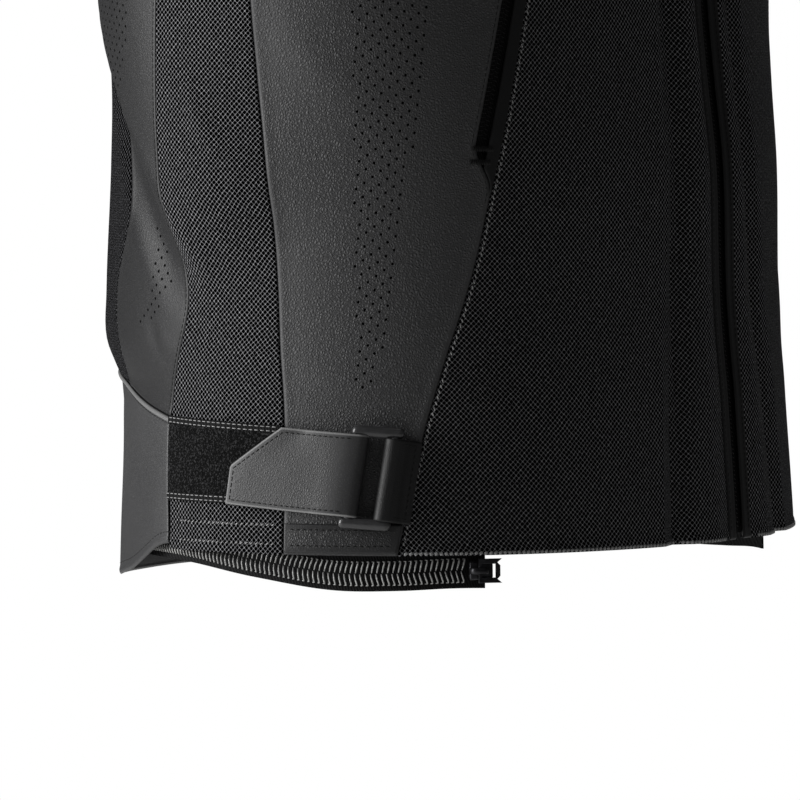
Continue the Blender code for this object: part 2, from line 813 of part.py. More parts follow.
def add_adjusters(finish, parts, jacket):
    """Tab, ring and anchor loop on each side."""
    half = TAB_HEIGHT / 2
    top_out = BAR_OUT + RING_WIRE / 2 + CLEARANCE + STRAP
    rows = np.array([-half, -half + RIM, -4.0, half - TAB_CHAMFER_HEIGHT, half - 9, half - RIM, half])
    for suffix, side in (("R", 1), ("L", -1)):
        lines = []
        for across in rows:
            cut = max(0.0, across - (half - TAB_CHAMFER_HEIGHT)) / TAB_CHAMFER_HEIGHT
            tip = -TAB_LENGTH + TAB_CHAMFER * cut
            places = [
                (tip, 4.6),
                (tip + RIM, 4.7),
                (tip * 0.62 - 3, 5.2),
                (-20.0, 7.2),
                (-9.0, top_out - 0.4),
            ]
            places += round_bar(0, 180, 1, 7)
            places += [(-8.0, 1.2), (-TAB_RETURN, 1.1)]
            lines.append([strap_place(along, across, out) for along, out in places])
        add_wall(
            f"adjuster_tab_{suffix}", np.array(lines), STRAP, finish["leather"], parts, jacket, side
        )
        lines = []
        for across in np.array([-half, -half / 2, 0.0, half / 2, half]):
            places = [(RING_BARS_APART + ANCHOR_LENGTH + 1.2, 2.9)]
            places += [(RING_BARS_APART + ANCHOR_LENGTH - 3, 3.6), (RING_BARS_APART + 4, top_out - 0.8)]
            turn = round_bar(0, 180, -1, 7)
            places += [(RING_BARS_APART + along, out) for along, out in turn]
            places += [(RING_BARS_APART + 5.0, 1.0)]
            lines.append([strap_place(along, across, out) for along, out in places])
        points = np.array(lines)[:, ::-1]
        add_wall(f"anchor_loop_{suffix}", points, STRAP, finish["leather"], parts, jacket, side)
        add_ring(f"ring_{suffix}", side, finish["metal"], parts, jacket)


def add_ring(name, side, finish, parts, jacket):
    """The ring buckle: a wire bent to a rectangle with rounded corners."""
    half_wide = RING_BARS_APART / 2
    half_high = RING_INSIDE / 2 + RING_WIRE / 2
    corner = 4.0
    outline = []
    for quarter in range(4):
        middle_x = (half_wide - corner) * (1 if quarter in (0, 3) else -1)
        middle_z = (half_high - corner) * (1 if quarter in (0, 1) else -1)
        for turn in (8, 45, 82):
            angle = math.radians(turn + 90 * quarter)
            outline.append((middle_x + corner * math.cos(angle), middle_z + corner * math.sin(angle)))
    wire = bpy.data.curves.new(name, "CURVE")
    wire.dimensions = "3D"
    wire.bevel_depth = RING_WIRE / 2 * MM
    wire.bevel_resolution = 2
    spline = wire.splines.new("POLY")
    spline.points.add(len(outline) - 1)
    for point, (x, z) in zip(spline.points, outline):
        place = strap_place(half_wide + x, z, BAR_OUT) * np.array([side, 1.0, 1.0])
        point.co = (*(place * MM), 1.0)
    spline.use_cyclic_u = True
    wire.materials.append(finish)
    made = bpy.data.objects.new(name, wire)
    parts.objects.link(made)
    made.parent = jacket


def add_strips(finish, parts, jacket):
    """The hook-and-loop strips and the leather facings along the hem."""
    back, front = seam("side_back"), seam("side_front")
    low, top = level(HOOK_STRIP_LOW), level(HOOK_STRIP_TOP)
    columns = np.linspace(0.02, 0.98, 5)
    strip = panel_points(back, front, low, top, columns, (), out=1.9)
    low, top = level(1.0), level(HEM_FACING_TOP)
    columns = np.linspace(0.02, 0.98, 6)
    facing = panel_points(front, seam("front"), low, top, columns, (), out=1.5)
    for suffix, side in (("R", 1), ("L", -1)):
        add_wall(f"hook_strip_{suffix}", strip, 1.2, finish["nap"], parts, jacket, side)
        add_wall(f"hem_facing_{suffix}", facing, 0.8, finish["leather"], parts, jacket, side)


def add_connection_zip(finish, parts, jacket):
    """The zip hung inside the back hem, for fastening to trousers, with its chain closed."""
    quarter = np.linspace(CONNECTION_START, 180, 15)
    path = [(float(a), float(smooth_row(CONNECTION_ZIP, a)[0])) for a in quarter]
    path += [(360 - a, up) for a, up in path[-2::-1]]
    half = CONNECTION_CHAIN / 2
    down = half + CONNECTION_TAPE_DOWN
    low, chain = -CONNECTION_IN - 1.0, 2.6
    points = (
        (-down, low),
        (CONNECTION_TAPE_UP, low),
        (CONNECTION_TAPE_UP, low + TAPE),
        (half, low + TAPE),
        (half * 0.8, low + chain),
        (-half * 0.8, low + chain),
        (-half, low + TAPE),
        (-down, low + TAPE),
    )
    sweep("connection_zip", path, lambda angle, up: points, finish["tape"], parts, jacket)


def box(name, size, at=(0, 0, 0), bevel=0.0):
    block = bmesh.new()
    bmesh.ops.create_cube(block, size=1.0)
    bmesh.ops.scale(block, vec=Vector(size) * MM, verts=block.verts)
    if bevel:
        bmesh.ops.bevel(
            block,
            geom=list(block.edges),
            offset=bevel * MM,
            offset_type="OFFSET",
            segments=1,
            profile=0.5,
            affect="EDGES",
            material=-1,
        )
    bmesh.ops.translate(block, vec=Vector(at) * MM, verts=block.verts)
    mesh = bpy.data.meshes.new(name)
    block.to_mesh(mesh)
    block.free()
    return mesh


def slider_mesh(helpers):
    """A slider's body with the arch that its pull hangs on. It lies in XY, its front along +Y."""
    size = SLIDER
    base = bpy.data.objects.new(
        "slider_body", box("slider_body", (size["width"], size["length"], size["height"]), bevel=0.9)
    )
    tall = size["arch_height"]
    arch_at = (0, PIN["ahead"], size["height"] / 2 + tall / 2 - 0.2)
    arch = bpy.data.objects.new(
        "slider_arch", box("slider_arch", (size["arch_width"], 7.0, tall + 0.4), arch_at, bevel=0.7)
    )
    tunnel_at = (0, PIN["ahead"], size["height"] / 2 + PIN["over_slider"])
    tunnel_size = (size["width"], PIN["hole"], PIN["hole"])
    tunnel = bpy.data.objects.new("slider_tunnel", box("slider_tunnel", tunnel_size, tunnel_at))
    for helper in (arch, tunnel):
        helpers.objects.link(helper)
        helper.hide_render = True
        helper.display_type = "WIRE"
    helpers.objects.link(base)
    for operation, other in (("UNION", arch), ("DIFFERENCE", tunnel)):
        cut = base.modifiers.new(operation.title(), "BOOLEAN")
        cut.operation = operation
        cut.object = other
        cut.solver = "EXACT"
    bpy.context.view_layer.update()
    made = bpy.data.meshes.new_from_object(
        base.evaluated_get(bpy.context.evaluated_depsgraph_get())
    )
    made.name = "zip_slider"
    for helper in (base, arch, tunnel):
        bpy.data.objects.remove(helper)
    return made


def pull_curve(name, tab_length):
    """A pull: a rectangular frame whose near bar is the hinge pin, and a tab beyond it."""
    wide, bar, frame = PULL["width"] / 2, PULL["bar"], PULL["frame"]
    far = -frame - tab_length
    tip = wide * 0.72
    outer = [(-wide, bar / 2), (-wide, -frame), (-tip, far + 1.5), (-tip + 1.5, far)]
    outer += [(-x, y) for x, y in outer[::-1]]
    near = SLIDER["arch_width"] / 2 + 1.6
    inner = [(-near, -bar / 2), (near, -bar / 2), (near, -frame + 1.6), (-near, -frame + 1.6)]
    curve = bpy.data.curves.new(name, "CURVE")
    curve.dimensions = "2D"
    curve.fill_mode = "BOTH"
    curve.extrude = PULL["thickness"] / 2 * MM
    for outline in (outer, inner):
        spline = curve.splines.new("POLY")
        spline.points.add(len(outline) - 1)
        for point, (x, y) in zip(spline.points, outline):
            point.co = (x * MM, y * MM, 0.0, 1.0)
        spline.use_cyclic_u = True
    return curve


def place_on(made, side_direction, ahead, normal, point, jacket):
    """Puts an object that was made flat in XY onto the surface."""
    turn = Matrix((side_direction, ahead, normal)).transposed().to_4x4()
    made.parent = jacket
    made.matrix_local = Matrix.Translation(Vector(point) * MM) @ turn


def add_fastener(suffix, angle, up, ahead, out, slider, tab, finish, parts, jacket, side=1):
    """A slider on its zip with the pull hanging from it. Ahead is the way that the slider faces."""
    point, normal, front, across = frame_on_body(angle, up, angle + ahead[0], up + ahead[1])
    flip = np.array([side, 1.0, 1.0])
    point, normal, front = point * flip, normal * flip, front * flip
    across = np.cross(front, normal)
    lift = out + SLIDER["height"] / 2
    body_part = bpy.data.objects.new(f"{suffix}_slider", slider)
    parts.objects.link(body_part)
    place_on(body_part, across, front, normal, point + normal * lift, jacket)
    pin_out = lift + SLIDER["height"] / 2 + PIN["over_slider"]
    pin = point + normal * pin_out + front * PIN["ahead"]
    curve = pull_curve(f"{suffix}_pull", tab)
    curve.materials.append(finish["metal"])
    pull = bpy.data.objects.new(f"{suffix}_pull", curve)
    parts.objects.link(pull)
    place_on(pull, across, front, normal, pin, jacket)
    return pin, across


def add_fasteners(finish, parts, helpers, jacket):
    slider = slider_mesh(helpers)
    slider.materials.clear()
    slider.materials.append(finish["metal"])
    small = (0.0, 0.2)
    high, tab = NECK - FRONT_SLIDER_DOWN, FRONT_PULL_TAB
    add_fastener("front_zip", 0.0, high, small, SLIDER_OUT, slider, tab, finish, parts, jacket)
    middle = WELT_WIDTH + SLOT_WIDTH / 2
    high, tab = POCKET_HIGH - POCKET_SLIDER_DOWN, POCKET_PULL_TAB
    for suffix, side in (("R", 1), ("L", -1)):
        angle = float(pocket_line(high, middle))
        higher = float(pocket_line(high + 2, middle))
        ahead = ((higher - angle) / 10, 0.2)
        name, out = f"pocket_{suffix}", SLIDER_OUT
        add_fastener(name, angle, high, ahead, out, slider, tab, finish, parts, jacket, side)
    angle = CONNECTION_START - CONNECTION_SLIDER_PAST
    up = float(smooth_row(CONNECTION_ZIP, angle)[0])
    out = -CONNECTION_IN + 2.0
    add_fastener("connection", angle, up, (0.05, 0.0), out, slider, 0, finish, parts, jacket)


def build():
    global AXIS
    for old in list(bpy.data.objects):
        bpy.data.objects.remove(old)
    AXIS = sleeve_axis()
    parts = bpy.data.collections.new("motorcycle_jacket")
    helpers = bpy.data.collections.new("cutters")
    for collection in (parts, helpers):
        bpy.context.scene.collection.children.link(collection)
    jacket = bpy.data.objects.new("jacket", None)
    jacket.location.z = -SHOULDER_HEIGHT * MM
    parts.objects.link(jacket)
    finish = make_materials()
    add_body_panels(finish, parts, jacket)
    add_yokes(finish, parts, jacket)
    add_collar(finish, parts, jacket)
    add_sleeves(finish, parts, jacket)
    add_front_edges(finish, parts, jacket)
    add_pockets(finish, parts, jacket)
    add_strips(finish, parts, jacket)
    add_adjusters(finish, parts, jacket)
    add_connection_zip(finish, parts, jacket)
    add_fasteners(finish, parts, helpers, jacket)


if __name__ == "__main__":
    build()
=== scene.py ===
"""Leather and mesh motorcycle jacket: the looks of every panel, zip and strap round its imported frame.

Sizes in the tables are in millimetres. A place on the jacket's body is an angle round from the
front centre, positive to the wearer's right, and a way up the cloth from the hem. The wearer faces
-Y and the wearer's right is -X.
"""

import math

import bmesh
import bpy
import numpy as np
from mathutils import Matrix, Vector


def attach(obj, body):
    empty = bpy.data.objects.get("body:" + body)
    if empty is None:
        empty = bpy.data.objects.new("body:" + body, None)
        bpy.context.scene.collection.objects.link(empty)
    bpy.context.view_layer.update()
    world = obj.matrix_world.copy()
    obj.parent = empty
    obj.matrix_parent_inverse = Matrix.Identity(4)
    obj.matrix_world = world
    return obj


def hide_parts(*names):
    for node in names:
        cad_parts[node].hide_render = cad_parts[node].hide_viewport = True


bl_info = {
    "name": "Motorcycle jacket",
    "version": (1, 0, 0),
    "blender": (4, 5, 0),
    "location": "3D View > Sidebar > Jacket",
    "description": "Cuts, sews and finishes a leather and mesh motorcycle jacket",
    "category": "Add Mesh",
}

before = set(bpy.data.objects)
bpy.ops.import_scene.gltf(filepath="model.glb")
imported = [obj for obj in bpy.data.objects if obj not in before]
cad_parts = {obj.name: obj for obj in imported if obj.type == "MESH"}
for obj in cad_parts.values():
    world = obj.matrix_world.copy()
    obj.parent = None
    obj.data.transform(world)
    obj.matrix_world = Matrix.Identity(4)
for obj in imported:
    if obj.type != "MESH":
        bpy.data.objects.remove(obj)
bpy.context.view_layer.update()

MM = 0.001
HEM_DEPTH = 560.0  # the hem's depth below the origin, which lies between the shoulders

# The body's form, as the source has it
BODY = (
    # up, height, half_width, front, back, tilt
    (-40, -40, 197, 152.0, 146.0, 0.00),
    (0, 0, 196, 150.5, 145.1, 0.00),
    (55, 55, 192.5, 146.7, 144.5, 0.00),
    (74, 74, 192, 145.2, 146.0, 0.00),
    (81, 81, 192, 144.4, 150.5, 0.00),
    (93, 93, 192, 143.2, 157.0, 0.00),
    (115, 115, 192.5, 141.5, 157.0, 0.00),
    (176, 176, 195, 139.5, 152.5, 0.00),
    (215, 215, 198.5, 135.0, 150.5, 0.00),
    (256, 256, 203, 131.0, 154.0, 0.00),
    (330, 330, 210, 130.0, 166.0, 0.00),
    (400, 400, 214, 131.0, 170.0, 0.00),
    (460, 460, 213, 126.0, 167.0, 0.02),
    (515, 514, 209, 112.0, 155.0, 0.08),
    (548, 545, 200, 97.0, 141.0, 0.14),
    (575, 566, 183, 84.0, 124.0, 0.20),
    (605, 583, 158, 73.0, 107.0, 0.26),
    (643, 601, 124, 64.0, 92.0, 0.30),
    (679, 615, 91, 58.0, 80.0, 0.33),
    (697, 622, 75, 55.0, 74.0, 0.34),
)
FRONT_SQUARENESS = 2.15
BACK_SQUARENESS = 2.0
NECK = 697.0
CHEST_SEAM = 430.0

SEAMS = (
    # up, back_mesh, side_back, side_front, front
    (0, 122.0, 105.8, 85.9, 70.2),
    (57, 122.4, 106.9, 86.2, 66.6),
    (75, 122.7, 105.9, 86.5, 65.0),
    (92, 123.3, 104.1, 86.9, 63.4),
    (105, 124.2, 102.8, 87.0, 62.0),
    (119, 124.0, 102.5, 87.1, 60.6),
    (135, 121.2, 103.5, 87.3, 59.2),
    (153, 118.0, 104.4, 87.5, 57.9),
    (163, 118.2, 105.2, 87.8, 57.2),
    (182, 120.0, 105.5, 88.3, 55.8),
    (215, 124.0, 105.5, 89.2, 53.6),
    (250, 129.0, 105.2, 89.7, 51.4),
    (330, 133.0, 104.0, 89.0, 46.0),
    (400, 134.0, 103.0, 88.5, 41.5),
    (430, 134.0, 103.0, 88.5, 39.5),
)
BELT = (
    # angle, low, top
    (104.0, 3.0, 57.5),
    (108.5, 1.0, 61.0),
    (113.0, -5.5, 64.3),
    (118.0, -11.5, 68.3),
    (124.5, -15.0, 73.5),
    (130.0, -17.0, 76.0),
    (150.0, -19.5, 80.5),
    (180.0, -20.5, 82.0),
)

BELT_SEWING_UP = 5.2  # the belt's hem stitches over its lower edge

EDGE_IN = 4.0
EDGE_OUT = 12.0
TROUGH_DEPTH = 6.0
TROUGH_HALF_WIDTH = 12.0
BAND_HEIGHT = 2.5
BAND_FROM_EDGE = 12.0
TROUGH = (
    # up, from_centre
    (0, 55),
    (55, 50),
    (110, 43),
    (205, 36),
    (260, 34),
    (430, 30),
)
TROUGH_ENDS = (330.0, 440.0)

FOLD_START = (120.7, 217.0)
FOLD_END = (101.4, 132.0)
FOLD_HEIGHT = 8.0
FOLD_WIDTH = 15.0
FOLD_BELOW = 3.5
FOLD_REACH = 70.0
FOLD_FADES = (95.0, 46.0)

ARMHOLE = {"angle": 88.0, "up": 483.0, "half_angle": 38.0, "half_height": 83.0}
SLEEVE = (
    # along, turn, drop, half_across, half_deep
    (0, 76, 6, 72, 76),
    (60, 66, 10, 69, 74),
    (120, 56, 14, 66, 70),
    (200, 49, 16, 62, 65),
    (260, 44, 16, 60, 62),
    (300, 39, 14, 60, 61),
    (340, 33, 11, 59, 60),
    (380, 28, 8, 57, 58),
    (440, 24, 5, 53, 54),
    (600, 22, 3, 45, 46),
    (625, 22, 3, 45, 46),
)
SLEEVE_BLEND = 130.0
SLEEVE_FRONT_SEAM = 112.0
SLEEVE_BACK_SEAM = 248.0
SLEEVE_INSET = 1.1
SLEEVE_BAND = 2.5  # the band of the sleeve that lies inside the armhole's edge
SLEEVE_USUAL_HALF = 62.0
SLEEVE_MM_PER_DEGREE = 1.08
ELBOW_FOLDS = (
    # along, depth, half_width, at, spread
    (298, 5.0, 15, 95, 62),
    (332, 7.0, 16, 88, 70),
    (366, 4.5, 14, 98, 58),
    (132, 4.0, 17, 120, 55),
)
ELBOW_POINT = {"along": 335.0, "height": 5.0, "reach": 52.0, "at": 262.0, "spread": 70.0}
COLLAR_HEIGHT = 44.0
COLLAR_LEAN = 9.0
COLLAR_SEAT = 1.2  # how far the collar's lower edge reaches down into the neck seam
COLLAR_SEWING_DOWN = 6.5  # the collar's stitches under its top edge

POCKET_LOW = 186.0
POCKET_HIGH = 330.0
POCKET_TAPER = 24.0
SLOT_WIDTH = 6.0
WELT_WIDTH = 6.5
WELT_LOW = 162.0
WELT_HIGH = 352.0

RING_ANGLE = 76.0
RING_UP = 36.0
RING_TILT = 7.5
TAB_TILT = 4.5
RING_INSIDE = 41.5
RING_BARS_APART = 15.4
RING_WIRE = 4.2
BAR_OUT = 5.5
TAB_HEIGHT = 37.5
TAB_LENGTH = 59.0
TAB_CHAMFER = 23.0
TAB_CHAMFER_HEIGHT = 20.0
TAB_RETURN = 16.0
ANCHOR_LENGTH = 11.0
STRAP = 1.8
STRAP_CLEARANCE = 0.45
STRAP_LONGEST = 90.0
LOOP_TAPE = 1.2
HOOK_STRIP_LOW = 24.5
HOOK_STRIP_TOP = 57.0
HEM_FACING_TOP = 14.0
FACING_WALL = 0.8

CONNECTION_ZIP = (
    # angle, up: the middle of the chain
    (53.0, -7.5),
    (62.0, -7.0),
    (70.0, -8.0),
    (79.0, -8.0),
    (91.0, -3.0),
    (103.0, 2.0),
    (125.0, 3.0),
    (180.0, 3.0),
)
CONNECTION_START = 60.2
CONNECTION_TAPE_START = 57.6  # the tape runs on under the slider
CONNECTION_SLIDER_PAST = 1.6
CONNECTION_IN = 6.5
CONNECTION_CHAIN = 11.0
CONNECTION_TAPE_UP = 20.0
CONNECTION_TAPE_DOWN = 2.5
WELT_WALL = 2.0
TAPE = 0.9
FRONT_TAPE = {"half_width": 8.5, "back": -3.2, "half_chain": 2.8}
POCKET_TAPE = {"half_width": 6.5, "back": -3.4, "half_chain": 2.2, "past_slot": 16.0}
SLIDER = {"length": 11.0, "width": 8.6, "height": 3.0, "arch_width": 3.0, "arch_height": 3.4}
PULL = {"width": 11.0, "bar": 1.4, "frame": 9.5, "thickness": 1.2}
PIN = {"ahead": 1.2, "over_slider": 1.35}
SLIDER_OUT = 0.9
FRONT_SLIDER_DOWN = 16.0
POCKET_SLIDER_DOWN = 6.0
FRONT_PULL_TAB = 16.0
POCKET_PULL_TAB = 12.0

# Cloth: how it is divided and how its edges turn
LEATHER = 1.5
MESH_CLOTH = 1.2
BELT_WALL = 2.0
COLLAR_WALL = 2.4
CELL = 4.0
SLEEVE_CELL = 5.5
SEAM_GAP = -0.06  # half of the gap between two panels, whose turned edges press together
EDGE_STEPS = (0.0, 0.35, 0.8, 1.4, 2.1, 3.0, 4.2)
NARROW_STEPS = (0.0, 0.25, 0.55, 1.0)
LEATHER_ROLL = {"drop": 1.0, "over": 1.1, "swell": 0.32, "width": 4.2}
MESH_ROLL = {"drop": 0.9, "over": 0.9, "swell": 0.0, "width": 2.0}
HEM_ROLL = {"drop": 0.5, "over": 0.8, "swell": 0.35, "width": 4.4}
NARROW_ROLL = {"drop": 0.6, "over": 0.8, "swell": 0.12, "width": 2.0}
SOFT_ROLL = {"drop": 0.35, "over": 0.8, "swell": 0.1, "width": 3.0}
CUT_ROLL = {"drop": 0.45, "over": 0.7, "swell": 0.0, "width": 2.0}
MM_PER_DEGREE = 3.4
SIDE_ANGLE = 90.0
SETTLING_ROUNDS = 26  # rounds in which a panel's grid settles between its seams
ARMHOLE_TOP_ROWS = (548, 552, 555.5, 558.5, 561, 563, 564.6, 565.8, 566.5, 568, 571)

# Creases given one by one on the body: side 1 is the wearer's right, -1 the left and 0 both
CREASES = (
    # side, from: angle, up, to: angle, up, height, half_width
    (0, 100, 214, 92, 176, 1.3, 9),
    (0, 103, 112, 95, 92, -0.9, 8),
    (0, 101, 84, 91, 70, 0.7, 7),
    (1, 112, 108, 106, 84, -0.9, 6),
    (1, 110, 99, 105.5, 90, 0.7, 5),
    (-1, 112, 118, 107, 95, -1.0, 7),
    (1, 84, 84, 70, 76, 0.8, 7),
    (1, 82, 72, 72, 67, -0.5, 6),
    (-1, 84, 96, 68, 80, 0.9, 9),
    (1, 86, 246, 74, 205, 0.8, 13),
    (-1, 84, 270, 72, 218, 1.0, 14),
    (0, 60, 350, 48, 300, 1.2, 16),
    (1, 56, 120, 40, 66, 0.6, 14),
    (-1, 54, 150, 38, 96, 0.8, 15),
    (0, 34, 372, 26, 250, -1.0, 13),
    (1, 128, 205, 121, 160, -1.6, 10),
    (-1, 130, 220, 122, 158, -1.8, 11),
    (1, 142, 180, 133, 108, 1.4, 13),
    (-1, 146, 165, 136, 104, 1.6, 12),
    (0, 158, 128, 140, 92, -1.7, 12),
    (1, 172, 116, 155, 99, 1.2, 10),
    (-1, 170, 124, 156, 106, 1.0, 11),
    (0, 150, 330, 134, 268, 1.5, 17),
    (1, 166, 400, 150, 352, -1.3, 16),
    (-1, 162, 390, 148, 346, -1.2, 15),
    (0, 116, 372, 106, 300, 1.6, 15),
    (0, 76, 378, 58, 344, -1.4, 13),
    (0, 54, 470, 44, 408, 1.5, 13),
    (1, 40, 520, 34, 440, -1.2, 14),
    (-1, 42, 512, 35, 446, -1.3, 13),
    (0, 128, 500, 122, 430, 1.8, 15),
    (1, 140, 520, 136, 452, -1.4, 16),
    (-1, 142, 512, 137, 450, -1.5, 15),
    (0, 110, 610, 132, 560, 1.0, 15),
    (0, 70, 612, 48, 566, 0.9, 14),
)
SLEEVE_CREASES = (
    # side, from: along, at, to: along, at, height, half_width
    (0, 40, 60, 96, 105, 2.2, 13),
    (0, 66, 250, 118, 200, 2.4, 14),
    (1, 150, 130, 205, 84, -2.0, 12),
    (-1, 158, 126, 214, 78, -2.2, 12),
    (1, 215, 45, 270, 92, 1.8, 11),
    (-1, 205, 50, 262, 98, 1.9, 12),
    (0, 282, 130, 314, 178, 1.8, 9),
    (0, 350, 128, 384, 172, 1.6, 10),
    (1, 302, 40, 322, 12, 1.5, 10),
    (-1, 296, 34, 318, 8, 1.6, 10),
    (0, 398, 100, 432, 60, -1.5, 11),
    (1, 452, 150, 498, 110, 1.2, 12),
    (-1, 446, 158, 490, 116, 1.3, 12),
    (0, 540, 80, 572, 40, -1.0, 12),
    (0, 566, 250, 602, 292, 1.0, 11),
    (1, 170, 300, 232, 336, 1.4, 15),
    (-1, 176, 296, 240, 330, 1.3, 15),
)

# Sewing
STITCH_SIZE = (2.0, 0.5, 0.42)  # length, width, height
LOOP_SIZE = (1.7, 0.55, 0.5)  # the pale loops along the net's seams
COIL_WIRE = 0.37  # half the wire, on the connection zip
# The slabs at the ring's ends
SLAB = {"past": 3.7, "tall": 5.3, "deep": 5.0, "round": 2.2, "in": -2.1, "turned_back": 3.5}


def smooth_row(table, where):
    """The table's other columns at a value of its first one, on a smooth curve through the rows."""
    rows = np.array(table, float)
    at, columns = rows[:, 0], rows[:, 1:]
    step = np.diff(at)
    slope = np.diff(columns, axis=0) / step[:, None]
    tangent = np.vstack([slope[:1], slope, slope[-1:]])
    tangent = (tangent[:-1] + tangent[1:]) / 2
    where = np.asarray(where, float)
    row = np.clip(np.searchsorted(at, where) - 1, 0, len(at) - 2)
    t = ((where - at[row]) / step[row])[..., None]
    t = np.clip(t, -1.0, 2.0)
    length = step[row][..., None]
    return (
        (2 * t**3 - 3 * t**2 + 1) * columns[row]
        + (t**3 - 2 * t**2 + t) * length * tangent[row]
        + (3 * t**2 - 2 * t**3) * columns[row + 1]
        + (t**3 - t**2) * length * tangent[row + 1]
    )


def ease(t):
    t = np.clip(t, 0.0, 1.0)
    return t * t * (3 - 2 * t)


def hump(distance, half_width):
    """1 at the middle, falling smoothly to 0 at the half width."""
    return 1 - ease(np.abs(distance) / half_width)


def seam(column):
    names = ("back_mesh", "side_back", "side_front", "front")
    return lambda up: smooth_row(SEAMS, up)[..., names.index(column)]


def belt_low(angle):
    return smooth_row(BELT, angle)[..., 0]


def belt_top(angle):
    return smooth_row(BELT, angle)[..., 1]


def front_relief(across, up):
    """The trough and the raised band beside the front edge, by the way across from the centre."""
    trough = smooth_row(TROUGH, np.clip(up, 0, 430))[..., 0]
    start, end = TROUGH_ENDS
    fade = 1 - ease((up - start) / (end - start))
    dip = -TROUGH_DEPTH * hump(across - trough, TROUGH_HALF_WIDTH)
    middle = EDGE_OUT + (trough - BAND_FROM_EDGE - EDGE_OUT) / 2
    band = BAND_HEIGHT * hump(across - middle, np.maximum(middle - EDGE_OUT, 6.0) + 5.0)
    return fade * (dip + band)


def fold_relief(angle, up):
    """The overhang behind the arm: raised above the fold line and hollow just under it."""
    (a0, v0), (a1, v1) = FOLD_START, FOLD_END
    mm_per_degree = 3.1
    across = (angle - a0) * mm_per_degree
    line = np.array([(a1 - a0) * mm_per_degree, v1 - v0])
    length = np.hypot(*line)
    line /= length
    along = across * line[0] + (up - v0) * line[1]
    over = across * line[1] - (up - v0) * line[0]
    before, past = FOLD_FADES
    here = ease((length + 26 - along) / past) * ease((along + before) / before)
    rise = FOLD_HEIGHT * ease(over / FOLD_WIDTH + 0.5) * (1 - ease((over - 20) / FOLD_REACH))
    hollow = -FOLD_BELOW * hump(over + 14, 16)
    return here * (rise + hollow)


def shape(angle, up):
    """The outer surface of the body, with its largest folds."""
    angle, up = np.broadcast_arrays(np.asarray(angle, float), np.asarray(up, float))
    side = np.where(angle < 0, -1.0, 1.0)
    turn = np.radians(np.abs(angle))
    side = np.where(np.abs(angle) > 180, -side, side)
    height, half, front, back, tilt = np.moveaxis(smooth_row(BODY, up), -1, 0)
    sine, cosine = np.abs(np.sin(turn)), np.cos(turn)
    depth = np.where(cosine > 0, front, back)
    power = np.where(cosine > 0, FRONT_SQUARENESS, BACK_SQUARENESS)
    reach = ((sine / half) ** power + (np.abs(cosine) / depth) ** power) ** (-1 / power)
    folded = np.where(np.abs(angle) > 180, 360 - np.abs(angle), np.abs(angle))
    reach = reach + fold_relief(folded, up)
    reach = reach + front_relief(reach * sine, up) * (cosine > 0)
    x = -reach * sine * side
    y = -reach * cosine
    return np.stack([x, y, height + tilt * y], axis=-1)


def body_normal(angle, up):
    round_it = shape(angle + 0.25, up) - shape(angle - 0.25, up)
    upwards = shape(angle, up + 0.5) - shape(angle, up - 0.5)
    normal = np.cross(upwards, round_it)
    return normal / np.linalg.norm(normal, axis=-1, keepdims=True)


def body(angle, up, out=0.0):
    """A point on the jacket's body, moved out along the surface's normal."""
    angle, up = np.broadcast_arrays(np.asarray(angle, float), np.asarray(up, float))
    return shape(angle, up) + body_normal(angle, up) * np.asarray(out, float)[..., None]


def degrees_for(distance, angle, up):
    """The change of angle that moves a point this far round the surface."""
    here = shape(np.asarray(angle) + 0.5, up) - shape(np.asarray(angle) - 0.5, up)
    return distance / np.linalg.norm(here, axis=-1)


def angle_across(distance):
    """The angle at a distance from the front centre, as a function of the way up."""

    def angle(up):
        front = smooth_row(BODY, up)[..., 2]
        return np.degrees(np.arcsin(np.clip(distance / front, -1, 1)))

    return angle


def armhole(turn, inset=0.0):
    """Angle and way up of the armhole's edge, turning from the top over the front."""
    turn = np.radians(turn)
    half_angle = ARMHOLE["half_angle"] - inset / MM_PER_DEGREE
    half_height = ARMHOLE["half_height"] - inset
    return (
        ARMHOLE["angle"] - half_angle * np.sin(turn),
        ARMHOLE["up"] + half_height * np.cos(turn),
    )


def armhole_edge(side):
    """The armhole's front (-1) or back (1) edge as an angle by the way up."""

    def edge(up):
        level = (np.asarray(up, float) - ARMHOLE["up"]) / (ARMHOLE["half_height"] + 2 * SEAM_GAP)
        wide = np.sqrt(np.clip(1 - level**2, 0, 1))
        return ARMHOLE["angle"] + side * ARMHOLE["half_angle"] * wide

    return edge


def armhole_floor(angle):
    """The way up of the armhole's lower edge, where a panel passes under it."""
    wide = (np.asarray(angle, float) - ARMHOLE["angle"]) / ARMHOLE["half_angle"]
    deep = np.sqrt(np.clip(1 - wide**2, 0, 1))
    return np.minimum(CHEST_SEAM, ARMHOLE["up"] - ARMHOLE["half_height"] * deep)


def level(up):
    return lambda angle: np.full(np.shape(angle), float(up))


def straight(angle):
    return lambda up: np.full(np.shape(up), float(angle))


def shoulder_seam(side):
    """The yoke's outer edge: up the armhole and then along the shoulder."""
    armhole_side = armhole_edge(side)
    top = ARMHOLE["up"] + ARMHOLE["half_height"] + 2 * SEAM_GAP

    def outer(up):
        return np.where(np.asarray(up) > top, 90.0, armhole_side(up))

    return outer


def belt_front(up):
    return seam("side_back")(up) + 0.25


def pocket_offset(up):
    """How far the front leather's edge stands back from the front seam beside the pocket."""
    up = np.asarray(up, float)
    low = ease((up - POCKET_LOW + POCKET_TAPER) / POCKET_TAPER)
    high = 1 - ease((up - POCKET_HIGH) / POCKET_TAPER)
    return (WELT_WIDTH + SLOT_WIDTH) * np.minimum(low, high)


def pocket_seam(up):
    angle = seam("front")(up)
    return angle + degrees_for(pocket_offset(up), angle, up)


